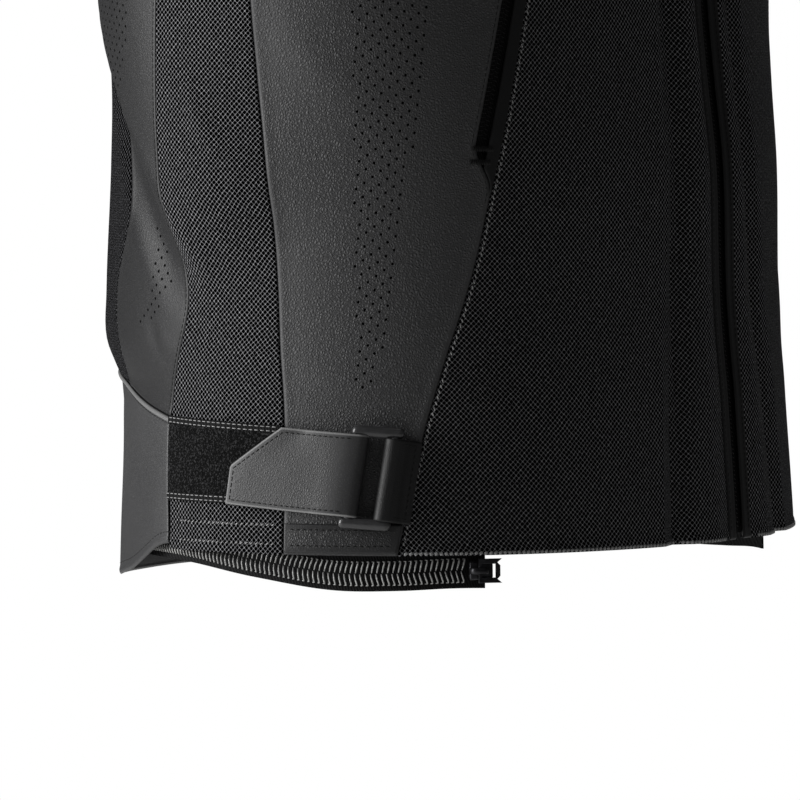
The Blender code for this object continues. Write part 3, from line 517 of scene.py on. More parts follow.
def pocket_line(up, from_seam):
    angle = seam("front")(up)
    return angle + degrees_for(from_seam, angle, up)


def welt_width(up):
    """The welt narrows towards its ends, where it is caught in the seam."""
    return np.clip(pocket_offset(up) - 2 * SEAM_GAP, 1.4, WELT_WIDTH)


# The sleeves


def sleeve_axis():
    """Points and directions along the arm, a row for each 5 mm."""
    angle, up = armhole(np.arange(0, 360, 15.0))
    point = body(angle, up).mean(axis=0)
    rows = []
    step = 5.0
    for along in np.arange(0, SLEEVE[-1][0] + 60, step):
        turn, drop = np.radians(smooth_row(SLEEVE, along)[:2])
        ahead = np.array(
            [-math.sin(turn) * math.cos(drop), -math.cos(turn) * math.cos(drop), -math.sin(drop)]
        )
        rows.append(np.concatenate([[along], point, ahead]))
        point = point + ahead * step
    return np.array(rows)


AXIS = sleeve_axis()


def sleeve_ring(along, at):
    """A point of the sleeve's tube: at turns from the top over the front."""
    columns = [np.interp(along, AXIS[:, 0], AXIS[:, i]) for i in range(1, 7)]
    centre = np.stack(columns[:3], axis=-1)
    ahead = np.stack(columns[3:], axis=-1)
    ahead /= np.linalg.norm(ahead, axis=-1, keepdims=True)
    rise = np.array([0.0, 0.0, 1.0]) - ahead * ahead[..., 2:]
    rise /= np.linalg.norm(rise, axis=-1, keepdims=True)
    inner = np.cross(rise, ahead)
    across, deep = smooth_row(SLEEVE, along)[..., 2], smooth_row(SLEEVE, along)[..., 3]
    relief = 0.0
    for fold_along, depth, half_width, fold_at, spread in ELBOW_FOLDS:
        way = (np.asarray(at) - fold_at + 180) % 360 - 180
        bent = along + way * 0.16
        relief = relief - depth * hump(bent - fold_along, half_width) * hump(way, spread)
    way = (np.asarray(at) - ELBOW_POINT["at"] + 180) % 360 - 180
    relief = relief + ELBOW_POINT["height"] * hump(
        along - ELBOW_POINT["along"], ELBOW_POINT["reach"]
    ) * hump(way, ELBOW_POINT["spread"])
    turn = np.radians(at)
    up_part = rise * ((deep + relief) * np.cos(turn))[..., None]
    side_part = inner * ((across + relief) * np.sin(turn))[..., None]
    return centre + up_part + side_part


def sleeve(along, at):
    """The sleeve's outer surface, which starts as a narrow band inside the armhole's edge."""
    along, at = np.broadcast_arrays(np.asarray(along, float), np.asarray(at, float))
    inset = SLEEVE_INSET + np.clip(along + SLEEVE_BAND, 0, SLEEVE_BAND)
    start = body(*armhole(at, inset))
    ring = sleeve_ring(np.maximum(along, 0.0), at)
    blend = ease(along / SLEEVE_BLEND)[..., None]
    out = np.stack([np.interp(along, AXIS[:, 0], AXIS[:, i]) - AXIS[0, i] for i in (1, 2, 3)], -1)
    return (start + out) * (1 - blend) + ring * blend


def collar(angle, height):
    """The stand collar's outer surface over the neck seam."""
    angle, height = np.broadcast_arrays(np.asarray(angle, float), np.asarray(height, float))
    base = shape(angle, np.full(angle.shape, NECK + 0.4))
    turn, lean = np.radians(angle), math.radians(COLLAR_LEAN)
    outwards = np.stack([-np.sin(turn), -np.cos(turn), np.zeros_like(turn)], axis=-1)
    upright = np.array([0.0, 0.0, 1.0])
    reach = height[..., None]
    return base + upright * reach * math.cos(lean) - outwards * reach * math.sin(lean)


SIDES = (1, -1)  # the wearer's right and left
SUFFIX = {1: "_R", -1: "_L", 0: ""}


def mirror(side):
    """Takes places on the wearer's right to the side: 1 the right, -1 the left."""
    return np.array([side, 1.0, 1.0])


# Cloth


def crease_relief(table, across, along, side, across_size, along_size):
    """The height of the hand-placed creases at places on a surface."""
    relief = np.zeros(np.shape(across))
    for which, a0, v0, a1, v1, height, half_width in table:
        if which not in (0, side):
            continue
        line = np.array([(a1 - a0) * across_size, (v1 - v0) * along_size])
        length = np.hypot(*line)
        line /= length
        x, y = (across - a0) * across_size, (along - v0) * along_size
        way = x * line[0] + y * line[1]
        bend = 0.10 * length * np.sin(np.pi * np.clip(way / length, 0, 1))
        off = y * line[0] - x * line[1] - bend
        soft = ease((way + half_width) / (length * 0.45 + half_width))
        soft *= ease((length + half_width - way) / (length * 0.6 + half_width))
        relief += height * soft * hump(off, half_width)
    return relief


def edge_roll(distance, roll):
    """How an edge turns down into its seam, with a soft swelling beside it."""
    drop = -roll["drop"] * (1 - ease(distance / roll["over"]) ** 0.5)
    middle = roll["width"] / 2
    return drop + roll["swell"] * hump(distance - middle, middle)


def stations(length, cell, steps=EDGE_STEPS):
    """Places along a length as a fixed part and a share of it: close by both ends, even between."""
    count = max(2, int(round((length - 2 * steps[-1]) / cell)))
    t = np.linspace(0, 1, count + 1)[1:-1]
    steps = np.array(steps)
    fixed = np.concatenate([steps, steps[-1] * (1 - 2 * t), -steps[::-1]])
    share = np.concatenate([np.zeros(len(steps)), t, np.ones(len(steps))])
    return fixed, share


def panel(left, right, low, top, side=1, out=0.0, gap=SEAM_GAP, rolls=None, cell=CELL, rows=None,
          steps=EDGE_STEPS, origin=None, relief=None, creased=True, rims=(0, 1, 2, 3)):
    """A panel between two seams (angles by the way up) and two edges (ways up by angle).

    Gives its points, its flat places from the origin line and the distance from its nearest edge.
    Rims are the edges that count there: left, right, low and top.
    """
    bottom, ceiling = (float(edge(np.array(SIDE_ANGLE))) for edge in (low, top))
    middle_up = (bottom + ceiling) / 2
    start, end = left(middle_up), right(middle_up)
    wide = float((start - end) / degrees_for(1.0, (start + end) / 2, middle_up))
    across_fixed, across_share = stations(wide, cell, steps)
    up_fixed, up_share = stations(ceiling - bottom, cell, steps)
    if rows is not None:
        steps = np.array(steps)
        within = bottom + steps[-1] + 1, ceiling - steps[-1] - 1
        rows = np.array([up for up in rows if within[0] < up < within[1]])
        up_fixed = np.concatenate([steps, rows - bottom - gap, -steps[::-1]])
        up_share = np.concatenate([np.zeros(len(steps)), rows * 0, np.ones(len(steps))])
    angle = np.full((len(up_fixed), len(across_fixed)), SIDE_ANGLE)
    up = np.full(angle.shape, middle_up)
    for _ in range(SETTLING_ROUNDS):
        start, end = left(up), right(up)
        per_mm = degrees_for(1.0, (start + end) / 2, up)
        width = (start - end) / per_mm - 2 * gap
        across = across_fixed[None, :] + across_share[None, :] * width
        angle = (angle + start - (across + gap) * per_mm) / 2
        bottom, ceiling = low(angle) + gap, top(angle) - gap
        height = up_fixed[:, None] + up_share[:, None] * (ceiling - bottom)
        up = (up + bottom + height) / 2
    edges = (across, width - across, height, ceiling - bottom - height)
    lift = np.zeros(angle.shape) + out
    for distance, roll in zip(edges, rolls or (LEATHER_ROLL,) * 4):
        if roll:
            lift = lift + edge_roll(distance, roll)
    if creased:
        lift = lift + crease_relief(CREASES, angle, up, side, MM_PER_DEGREE, 1.0)
    if relief:
        lift = lift + relief(edges)
    points = body(angle, up, lift)
    step = np.linalg.norm(np.diff(points, axis=1), axis=-1)
    along = np.concatenate([np.zeros((len(points), 1)), np.cumsum(step, axis=1)], axis=1)
    zero = (left(up) + right(up)) / 2 if origin is None else origin(up)
    start = np.array([np.interp(-zero[i, 0], -angle[i], along[i]) for i in range(len(points))])
    flat = np.stack([along - start[:, None], up], axis=-1)
    nearest = np.minimum.reduce([edges[i] for i in rims])
    return points, flat, nearest


def in_metres(points):
    return (np.asarray(points, float) - np.array([0.0, 0.0, HEM_DEPTH])) * MM


def mesh_from(name, made, smooth=True):
    """The bmesh as a mesh, smoothly shaded or not. The bmesh is freed."""
    mesh = bpy.data.meshes.new(name)
    made.to_mesh(mesh)
    made.free()
    if smooth:
        mesh.shade_smooth()
    return mesh


def join(made, part):
    """Adds a mesh to the bmesh and removes it."""
    made.from_mesh(part)
    bpy.data.meshes.remove(part)


def grid_mesh(name, points, flat, nearest):
    """A grid of quads laid through the points, with its flat places as its UV map."""
    rows, columns = points.shape[:2]
    grid = bmesh.new()
    bmesh.ops.create_grid(grid, x_segments=columns - 1, y_segments=rows - 1, size=0.5)
    mesh = mesh_from(name, grid)
    count = len(mesh.vertices)
    places = np.zeros(count * 3)
    mesh.vertices.foreach_get("co", places)
    places = places.reshape(-1, 3)
    column = np.rint((places[:, 0] + 0.5) * (columns - 1)).astype(int)
    row = np.rint((places[:, 1] + 0.5) * (rows - 1)).astype(int)
    mesh.vertices.foreach_set("co", in_metres(points)[row, column].ravel())
    corner = np.zeros(len(mesh.loops), int)
    mesh.loops.foreach_get("vertex_index", corner)
    uv = mesh.uv_layers.new(name="Cut")
    uv.data.foreach_set("uv", (flat[row, column][corner] * MM).ravel())
    edge = mesh.attributes.new("from_edge", "FLOAT", "POINT")
    edge.data.foreach_set("value", (nearest[row, column] * MM).ravel())
    return mesh


FAR_FROM_EDGE = 9.0  # a distance past which an edge has no effect
NO_EDGE = 99.0  # stands for an edge that a grid doesn't have


def add_piece(name, data, finish, replaces=(), rides="root"):
    """Links a finished piece, with its material, its body and the nodes it stands for."""
    made = bpy.data.objects.new(name, data)
    bpy.context.scene.collection.objects.link(made)
    data.materials.append(finish_for(finish))
    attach(made, rides)
    if replaces:
        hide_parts(*replaces)
    return made


def add_cloth(name, made, wall, finish, stands_for=None, side=0, sewn_on=None):
    """A cloth piece with its wall turned inwards, which stands for a node of the frame.

    Side is 1 for the wearer's right, -1 for the left, or 0 for a piece that spans both. A trim too
    narrow to be a sheet of its own goes with the piece that it is sewn on.
    """
    points, flat, nearest = made
    if side < 0:
        points = (points * mirror(side))[:, ::-1]
        flat, nearest = flat[:, ::-1], nearest[:, ::-1]
    name += SUFFIX[side]
    replaced = [stands_for + SUFFIX[side]] if stands_for else []
    piece = add_piece(name, grid_mesh(name, points, flat, nearest), finish, replaced)
    shell = piece.modifiers.new("Wall", "SOLIDIFY")
    shell.thickness = wall * MM
    shell.offset = -1.0
    shell.use_even_offset = True
    if sewn_on:
        piece.parent = bpy.data.objects[sewn_on + SUFFIX[side]]


def both_halves(made):
    """A half panel up to the back's middle, joined to its mirror image as one grid."""
    points, flat, nearest = made
    mirrored = (points * mirror(-1))[:, ::-1]
    points = points.copy()
    points[:, 0, 0] = 0.0
    flat = flat - flat[:, :1] * np.array([1.0, 0.0])
    whole = np.concatenate([mirrored[:, :-1], points], axis=1)
    across = np.concatenate([(flat * np.array([-1.0, 1.0]))[:, ::-1][:, :-1], flat], axis=1)
    edges = np.concatenate([nearest[:, ::-1][:, :-1], nearest], axis=1)
    return whole, across, edges


# Sewing and trims


def stitch_mesh(size):
    """One stitch: a short bar with rounded edges, lying along X."""
    bar = bmesh.new()
    bmesh.ops.create_cube(bar, size=1.0)
    bmesh.ops.scale(bar, vec=Vector(size) * MM, verts=bar.verts)
    bmesh.ops.bevel(
        bar, geom=list(bar.edges), offset=min(size) * 0.32 * MM, offset_type="OFFSET", segments=1,
        profile=0.5, affect="EDGES", material=-1,
    )
    return mesh_from("stitch", bar, smooth=False)


def resample(points, normals, pitch):
    """Points, directions and normals at even steps along a path."""
    points, normals = np.asarray(points, float), np.asarray(normals, float)
    way = np.concatenate([[0.0], np.cumsum(np.linalg.norm(np.diff(points, axis=0), axis=-1))])
    count = max(1, int(way[-1] / pitch))
    at = (np.arange(count) + 0.5) * way[-1] / count
    place = np.stack([np.interp(at, way, points[:, i]) for i in range(3)], axis=-1)
    ahead = np.stack([np.interp(at + 0.4, way, points[:, i]) for i in range(3)], axis=-1)
    behind = np.stack([np.interp(at - 0.4, way, points[:, i]) for i in range(3)], axis=-1)
    normal = np.stack([np.interp(at, way, normals[:, i]) for i in range(3)], axis=-1)
    return place, ahead - behind, normal


def add_along(name, one, rows, finish, pitch, lean=0.0):
    """Copies of one small mesh, at even steps along paths, as one piece. The mesh is used up.

    Each path is points with the surface's normals, in millimetres. Lean turns each copy flat.
    """
    sewn = bmesh.new()
    for points, normals in rows:
        for place, ahead, normal in zip(*resample(points, normals, pitch)):
            ahead = Vector(ahead).normalized()
            normal = (Vector(normal) - ahead * ahead.dot(Vector(normal))).normalized()
            turn = Matrix((ahead, normal.cross(ahead), normal)).transposed().to_4x4()
            turn = Matrix.Translation(Vector(in_metres(place))) @ turn @ Matrix.Rotation(lean, 4, "Z")
            copy = one.copy()
            copy.transform(turn)
            join(sewn, copy)
    bpy.data.meshes.remove(one)
    return add_piece(name, mesh_from(name, sewn), finish)


def add_stitches(name, rows, finish="thread", size=STITCH_SIZE, pitch=None, lean=0.0):
    """Rows of stitches as one piece, at the jacket's stitch pitch unless another is given."""
    pitch = pitch or bpy.context.scene.jacket_sizes.stitch_pitch / MM
    add_along(name, stitch_mesh(size), rows, finish, pitch, lean)


def loft(name, rings):
    """A tube laid through rings of points, with capped ends."""
    rings = np.concatenate([rings, rings[:, :1]], axis=1)
    tube = bmesh.new()
    join(tube, grid_mesh(name, rings, rings[..., :2], rings[..., 0] * 0 + FAR_FROM_EDGE))
    bmesh.ops.remove_doubles(tube, verts=tube.verts, dist=1e-7)
    bmesh.ops.holes_fill(tube, edges=[edge for edge in tube.edges if edge.is_boundary], sides=0)
    bmesh.ops.recalc_face_normals(tube, faces=tube.faces)
    return mesh_from(name, tube)


def tooth_mesh(half_chain, flip):
    """One turn of a zip's coil: a wire from the row's outer edge over to past the middle.

    It lies across X with its foot on the tape at the origin's height. Flip is the side of its row.
    """
    size = half_chain / 5.5
    path = np.array(
        [(0.35, 5.35, 0.3), (-0.55, 5.2, 0.9), (-0.35, 4.2, 1.35), (0.15, 2.6, 1.45), (0.7, 0.3, 0.8)]
    )
    path = path * size * np.array([1.0, flip, 1.0])
    ahead = np.gradient(path, axis=0)
    ahead /= np.linalg.norm(ahead, axis=-1, keepdims=True)
    beside = np.cross(ahead, [0.0, 0.0, 1.0])
    beside /= np.linalg.norm(beside, axis=-1, keepdims=True)
    over = np.cross(beside, ahead)
    turns = np.radians(np.arange(0, 360, 60))[None, :, None]
    wire = COIL_WIRE * size * np.array([0.75, 1.0, 1.0, 1.0, 0.7])[:, None, None]
    rings = path[:, None] + (beside[:, None] * np.cos(turns) + over[:, None] * np.sin(turns)) * wire
    return loft("coil_turn", rings + np.array([0.0, 0.0, HEM_DEPTH]))


def add_coils(name, points, normals, half_chain, pitch, finish):
    """Both rows of a closed zip's coil, half a turn apart so that they interlock."""
    points, normals = np.asarray(points), np.asarray(normals)
    ahead = points[1] - points[0]
    shift = ahead / np.linalg.norm(ahead) * pitch / 2
    for row, flip, moved in (("upper", -1.0, 0.0), ("lower", 1.0, 1.0)):
        starts = points.copy()
        starts[0] = starts[0] + shift * moved
        one = tooth_mesh(half_chain, flip)
        add_along(f"{name}_{row}_row", one, [(starts, normals)], finish, pitch)


def body_row(angles, ups, out, side=1, creased=True):
    """A path over the body for sewing, with the normals there."""
    angles, ups = np.broadcast_arrays(np.asarray(angles, float), np.asarray(ups, float))
    if creased:
        out = out + crease_relief(CREASES, angles, ups, side, MM_PER_DEGREE, 1.0)
    flip = mirror(side)
    return body(angles, ups, out) * flip, body_normal(angles, ups) * flip


# Finishes


def from_hex(code):
    """An sRGB hex colour as linear values with alpha."""
    values = [int(code[i : i + 2], 16) / 255 for i in (1, 3, 5)]
    linear = [v / 12.92 if v <= 0.04045 else ((v + 0.055) / 1.055) ** 2.4 for v in values]
    return (*linear, 1.0)


def toned(colour, share):
    """A lighter or darker tone of a linear colour."""
    return (*(share * c for c in colour[:3]), 1.0)


def plug(tree, node, sockets):
    """Sets a node's inputs, each to a plain value or to another node's output."""
    for name, value in sockets.items():
        if isinstance(value, bpy.types.NodeSocket):
            tree.links.new(value, node.inputs[name])
        else:
            node.inputs[name].default_value = value


def add_node(tree, kind, sockets, out=0, **settings):
    """Adds a shader node with its settings and links, and gives the output that is asked for."""
    made = tree.nodes.new("ShaderNode" + kind)
    for name, value in settings.items():
        setattr(made, name, value)
    plug(tree, made, sockets)
    return made.outputs[out]


def new_finish(name, **sockets):
    """An empty material with its shader's plain values set."""
    made = bpy.data.materials.new(name)
    made.use_nodes = True
    shader = made.node_tree.nodes["Principled BSDF"]
    plug(made.node_tree, shader, {socket.replace("_", " "): value for socket, value in sockets.items()})
    return made, made.node_tree, shader


def leather_grain(tree, where, pebble, share):
    """Height of leather's grain: pebbles of that size in metres, with finer creases."""
    bent = add_node(tree, "TexNoise", {"Vector": where, "Scale": 0.35 / pebble, "Detail": 2.0}, "Color")
    bend = add_node(tree, "VectorMath", {0: bent, 1: MID_GREY}, operation="SUBTRACT")
    bend = add_node(tree, "VectorMath", {0: bend, "Scale": pebble * 1.1}, operation="SCALE")
    place = add_node(tree, "VectorMath", {0: where, 1: bend}, operation="ADD")
    sockets = {"Vector": place, "Scale": 1 / pebble}
    cells = add_node(tree, "TexVoronoi", sockets, "Distance", feature="DISTANCE_TO_EDGE")
    sockets = {"Value": cells, "From Min": 0.0, "From Max": share}
    domes = add_node(tree, "MapRange", sockets, interpolation_type="SMOOTHSTEP")
    sockets = {"Vector": where, "Scale": 1.9 / pebble, "Detail": 3.0, "Roughness": 0.6}
    fine = add_node(tree, "TexNoise", sockets, "Fac")
    return add_node(tree, "Math", {0: domes, 1: fine}, operation="ADD")


def finish_leather(tree, shader, colour, pebble, share, depth, rough, holes=None, cut=None,
                   width=0.0011, bend=False):
    """Joins grain, colour and roughness into the shader.

    Holes is a mask of punched holes, which are painted near-black as the shade inside them. Cut and width are
    the colour and width of a painted highlight along the cut edge. Bend is for a strap whose grain is pulled
    flat where it turns round the ring's bar.
    """
    where = add_node(tree, "TexCoord", {}, "Object")
    grain = leather_grain(tree, where, pebble, share)
    edge = add_node(tree, "Attribute", {}, "Fac", attribute_name="from_edge")
    sockets = {"Value": edge, "From Min": 0.0012, "From Max": 0.0042, "To Min": 0.2}
    inside = add_node(tree, "MapRange", sockets, interpolation_type="SMOOTHSTEP")
    if bend:
        way = add_node(tree, "SeparateXYZ", {"Vector": add_node(tree, "UVMap", {}, uv_map="Cut")})
        sockets = {"Value": way, "From Min": -0.014, "From Max": -0.007, "To Min": 1.0, "To Max": 0.2}
        inside = add_node(
            tree, "Math", {0: inside, 1: add_node(tree, "MapRange", sockets)}, operation="MULTIPLY"
        )
    height = add_node(tree, "Math", {0: grain, 1: inside}, operation="MULTIPLY")
    tone = add_node(tree, "MapRange", {"Value": grain, "From Min": 0.5, "From Max": 1.6})
    sockets = {"Factor": tone, 6: toned(colour, 0.72), 7: toned(colour, 1.15)}
    last = add_node(tree, "Mix", sockets, 2, data_type="RGBA")
    # Painted highlight: within the given width of the edge, the colour turns to the cut colour
    if cut is not None:
        sockets = {"From Min": width - 0.0006, "From Max": width, "To Min": 1.0, "To Max": 0.0}
        edge_highlight_mask = add_node(tree, "MapRange", {"Value": edge, **sockets})
        last = add_node(tree, "Mix", {"Factor": edge_highlight_mask, 6: last, 7: tuple(cut)}, 2, data_type="RGBA")
    # Painted shade: the holes are coloured near-black for the shade inside them
    if holes is not None:
        last = add_node(tree, "Mix", {"Factor": holes, 6: last, 7: HOLE_SHADE_BLACK}, 2, data_type="RGBA")
        gloss = shader.inputs["Specular IOR Level"].default_value
        gloss = add_node(tree, "MapRange", {"Value": holes, "To Min": gloss, "To Max": 0.0})
        plug(tree, shader, {"Specular IOR Level": gloss})
    patches = add_node(tree, "TexNoise", {"Vector": where, "Scale": 16.0, "Detail": 3.0}, "Fac")
    sockets = {"From Min": 0.3, "From Max": 0.7, "To Min": rough - 0.05, "To Max": rough + 0.06}
    roughness = add_node(tree, "MapRange", {"Value": patches, **sockets})
    bump = add_node(tree, "Bump", {"Height": height, "Strength": 1.0, "Distance": depth})
    if holes is not None:
        pit = add_node(tree, "Math", {0: 1.0, 1: holes}, operation="SUBTRACT")
        bump = add_node(
            tree, "Bump", {"Height": pit, "Strength": 1.0, "Distance": HOLE["depth"] * MM, "Normal": bump}
        )
    plug(tree, shader, {"Base Color": last, "Roughness": roughness, "Normal": bump})


MID_GREY = (0.5, 0.5, 0.5)  # the middle of a colour noise, taken off to centre it
# Painted shade: the colour of the inside of a punched hole
HOLE_SHADE_BLACK = (0.0008, 0.0008, 0.0008, 1.0)
HOLE = {"across": 6.7, "up": 6.3, "slope": 7.0, "radius": 0.62, "depth": 0.6}


def perforations(tree, bands):
    """1 in the punched holes. A hole is whole or not there: its own centre tells if it is in a band."""
    turn = math.radians(-HOLE["slope"])
    rotation = np.array([[math.cos(turn), -math.sin(turn)], [math.sin(turn), math.cos(turn)]])
    across, up = 1 / (HOLE["across"] * MM), 1 / (HOLE["up"] * MM)
    to_cells = np.array([[across, up], [across, -up]]) @ rotation.T
    where = add_node(tree, "UVMap", {}, uv_map="Cut")
    cells = []
    for row in to_cells:
        value = add_node(tree, "VectorMath", {0: where, 1: (*row, 0.0)}, "Value", operation="DOT_PRODUCT")
        cells.append(add_node(tree, "Math", {0: value}, operation="ROUND"))
    centre = []
    for first, second in np.linalg.inv(to_cells):
        part = add_node(tree, "Math", {0: cells[0], 1: first}, operation="MULTIPLY")
        sockets = {0: cells[1], 1: second, 2: part}
        centre.append(add_node(tree, "Math", sockets, operation="MULTIPLY_ADD"))
    middle = add_node(tree, "CombineXYZ", {"X": centre[0], "Y": centre[1]})
    away = add_node(tree, "VectorMath", {0: where, 1: middle}, "Value", operation="DISTANCE")
    radius = HOLE["radius"] * MM
    sockets = {"From Min": radius * 0.75, "From Max": radius * 1.2, "To Min": 1.0, "To Max": 0.0}
    mask = add_node(tree, "MapRange", {"Value": away, **sockets}, interpolation_type="SMOOTHSTEP")
    total = 0.0
    for band in bands:
        whole = mask
        for axis, base, share, keep in band:
            sockets = {0: centre[1 - axis], 1: share, 2: base * MM}
            limit = add_node(tree, "Math", sockets, operation="MULTIPLY_ADD")
            inside = add_node(tree, "Math", {0: centre[axis], 1: limit}, operation=keep)
            whole = add_node(tree, "Math", {0: whole, 1: inside}, operation="MULTIPLY")
        total = add_node(tree, "Math", {0: whole, 1: total}, operation="MAXIMUM")
    return total


OVER, UNDER = "GREATER_THAN", "LESS_THAN"
# The punched bands, each limit as: axis (0 across, 1 up), base in mm, share of the other axis, side kept
FRONT_BANDS = (
    ((0, -1.0, 0.0, OVER), (0, -3.3, 0.16, UNDER), (1, 74.0, 0.0, OVER), (1, 386.0, 0.0, UNDER)),
)
BACK_BANDS = (
    (
        (0, -44.0, 0.0, OVER), (0, -4.6, 0.0, UNDER), (0, -119.8, 0.48, UNDER),
        (1, 205.0, 0.0, OVER), (1, 380.0, 0.0, UNDER),
    ),
    ((0, -2.4, 0.0, OVER), (0, 61.0, -0.4, UNDER), (1, 120.0, 0.0, OVER), (1, 147.0, 0.0, UNDER)),
    ((0, -92.0, 0.75, OVER), (0, -50.5, 0.5, UNDER), (1, 103.0, 0.0, OVER), (1, 120.0, 0.0, UNDER)),
)


def grained_leather(colours):
    # Full-grain cowhide, drum-dyed and embossed: soft pebbles 1.4 mm across with a low sheen
    made, tree, shader = new_finish("grained_cowhide", IOR=1.5, Specular_IOR_Level=0.42)
    finish_leather(tree, shader, colours.leather, 0.0014, 0.45, 0.00023, 0.5)
    return made


def front_perforated_leather(colours):
    # The same hide, punched with 1.2 mm holes in a staggered band: dots painted dark as the shade in the
    # holes, with a lit lower rim
    made, tree, shader = new_finish("punched_cowhide_front", IOR=1.5, Specular_IOR_Level=0.42)
    holes = perforations(tree, FRONT_BANDS)
    finish_leather(tree, shader, colours.leather, 0.0014, 0.45, 0.00023, 0.5, holes)
    return made


def back_perforated_leather(colours):
    # Softer, finer grained back hide with the same holes, painted dark as shade: smooth, with a highlight
    # along the fold
    made, tree, shader = new_finish("punched_cowhide_back", IOR=1.5, Specular_IOR_Level=0.3)
    holes = perforations(tree, BACK_BANDS)
    finish_leather(tree, shader, colours.back_leather, 0.0011, 0.4, 0.00007, 0.42, holes)
    return made


def smooth_leather(colours):
    # Corrected, nearly smooth cowhide: even grey with a soft wide highlight, and a painted highlight along
    # its turned lip
    made, tree, shader = new_finish("corrected_cowhide", IOR=1.5, Specular_IOR_Level=0.45)
    finish_leather(tree, shader, colours.belt, 0.0010, 0.4, 0.00005, 0.44, cut=colours.lip, width=0.0026)
    return made


def loop_leather(colours):
    # The anchor loops' hide, smooth and stretched tight: dark, with one long highlight on its bend
    made, tree, shader = new_finish("stretched_cowhide", IOR=1.5, Specular_IOR_Level=0.45)
    finish_leather(tree, shader, colours.trim, 0.0010, 0.4, 0.00006, 0.54)
    return made


def plain_back_leather(colours):
    # The back hide unpunched, on the hem facings: finely grained, with a soft sheen
    made, tree, shader = new_finish("fine_cowhide", IOR=1.5, Specular_IOR_Level=0.45)
    finish_leather(tree, shader, colours.back_leather, 0.0012, 0.45, 0.00014, 0.45)
    return made


def strap_leather(colours):
    # Strap cut from the grained hide: sharper pebbles, and a painted highlight along its cut edge
    made, tree, shader = new_finish("cut_strap_cowhide", IOR=1.5, Specular_IOR_Level=0.5)
    finish_leather(tree, shader, colours.strap, 0.0011, 0.45, 0.0001, 0.45, cut=colours.cut_edge_highlight, bend=True)
    return made


def trim_leather(colours):
    # Thin skived trim leather, pressed nearly flat: dark, with a faint sheen on its turned edges
    made, tree, shader = new_finish("skived_trim_leather", IOR=1.5, Specular_IOR_Level=0.35)
    finish_leather(tree, shader, colours.trim, 0.0010, 0.4, 0.00006, 0.5)
    return made


def mesh_fabric(colours):
    # Open warp-knit polyester net: light threads on the diagonals round diamond holes painted near-black as
    # the shade seen through them
    return open_net("polyester_net", colours.net)


def shaded_back_net_fabric(colours):
    # The same net on the back in a darker colour: painted shade for the net seen along its surface, where it
    # stays nearly black
    return open_net("polyester_net_back_shaded", colours.shaded_back_net)


NET_PITCH = 2.45  # from one hole to the next across or up
# Painted shade: the colour of the net's holes, where the dark inside shows through
NET_HOLE_SHADE = (0.0011, 0.0011, 0.0012, 1.0)


def open_net(name, yarn_colour):
    """A net's material: threads on the diagonals round holes painted dark as shade, in the flat cut's own
    sizes.
    """
    made, tree, shader = new_finish(name, IOR=1.5, Roughness=0.7)
    where = add_node(tree, "UVMap", {}, uv_map="Cut")
    wander = add_node(tree, "TexNoise", {"Vector": where, "Scale": 130.0, "Detail": 2.0}, "Color")
    wander = add_node(tree, "VectorMath", {0: wander, 1: MID_GREY}, operation="SUBTRACT")
    wander = add_node(tree, "VectorMath", {0: wander, "Scale": 0.0011}, operation="SCALE")
    place = add_node(tree, "VectorMath", {0: where, 1: wander}, operation="ADD")
    scale = math.sqrt(2) / (NET_PITCH * MM)
    sockets = {"Vector": place, "Rotation": (0, 0, math.pi / 4), "Scale": (scale, scale, 0)}
    cell = add_node(tree, "VectorMath", {0: add_node(tree, "Mapping", sockets)}, operation="FRACTION")
    cell = add_node(tree, "VectorMath", {0: cell, 1: (0.5, 0.5, 0)}, operation="SUBTRACT")
    square = add_node(tree, "VectorMath", {0: cell, 1: cell}, operation="MULTIPLY")
    away = add_node(tree, "VectorMath", {0: square, 1: square}, "Value", operation="DOT_PRODUCT")
    sockets = {"Value": away, "From Min": 0.014, "From Max": 0.050, "To Min": 0.0, "To Max": 1.0}
    thread = add_node(tree, "MapRange", sockets, interpolation_type="SMOOTHSTEP")
    sockets = {"Vector": where, "Scale": 700.0, "Detail": 4.0, "Roughness": 0.8}
    fibre = add_node(tree, "TexNoise", sockets, "Fac")
    lit = add_node(tree, "MapRange", {"Value": fibre, "From Min": 0.36, "From Max": 0.66})
    sockets = {"Factor": lit, 6: toned(yarn_colour, 0.35), 7: toned(yarn_colour, 1.9)}
    yarn = add_node(tree, "Mix", sockets, 2, data_type="RGBA")
    # Painted light and shade on the threads: brighter on their crowns, darker where they turn down into the
    # holes
    sockets = {"Value": away, "From Min": 0.030, "From Max": 0.062, "To Min": 0.45, "To Max": 1.75}
    crown_light = add_node(tree, "MapRange", sockets)
    yarn = add_node(tree, "VectorMath", {0: yarn, "Scale": crown_light}, operation="SCALE")
    # Painted shade in the holes, painted light on the threads
    colour = add_node(tree, "Mix", {"Factor": thread, 6: NET_HOLE_SHADE, 7: yarn}, 2, data_type="RGBA")
    gloss = add_node(tree, "Math", {0: thread, 1: 0.16}, operation="MULTIPLY")
    rise = add_node(tree, "Math", {0: fibre, 1: 0.35, 2: thread}, operation="MULTIPLY_ADD")
    bump = add_node(tree, "Bump", {"Height": rise, "Strength": 1.0, "Distance": 0.00045})
    plug(tree, shader, {"Base Color": colour, "Specular IOR Level": gloss, "Normal": bump})
    return made


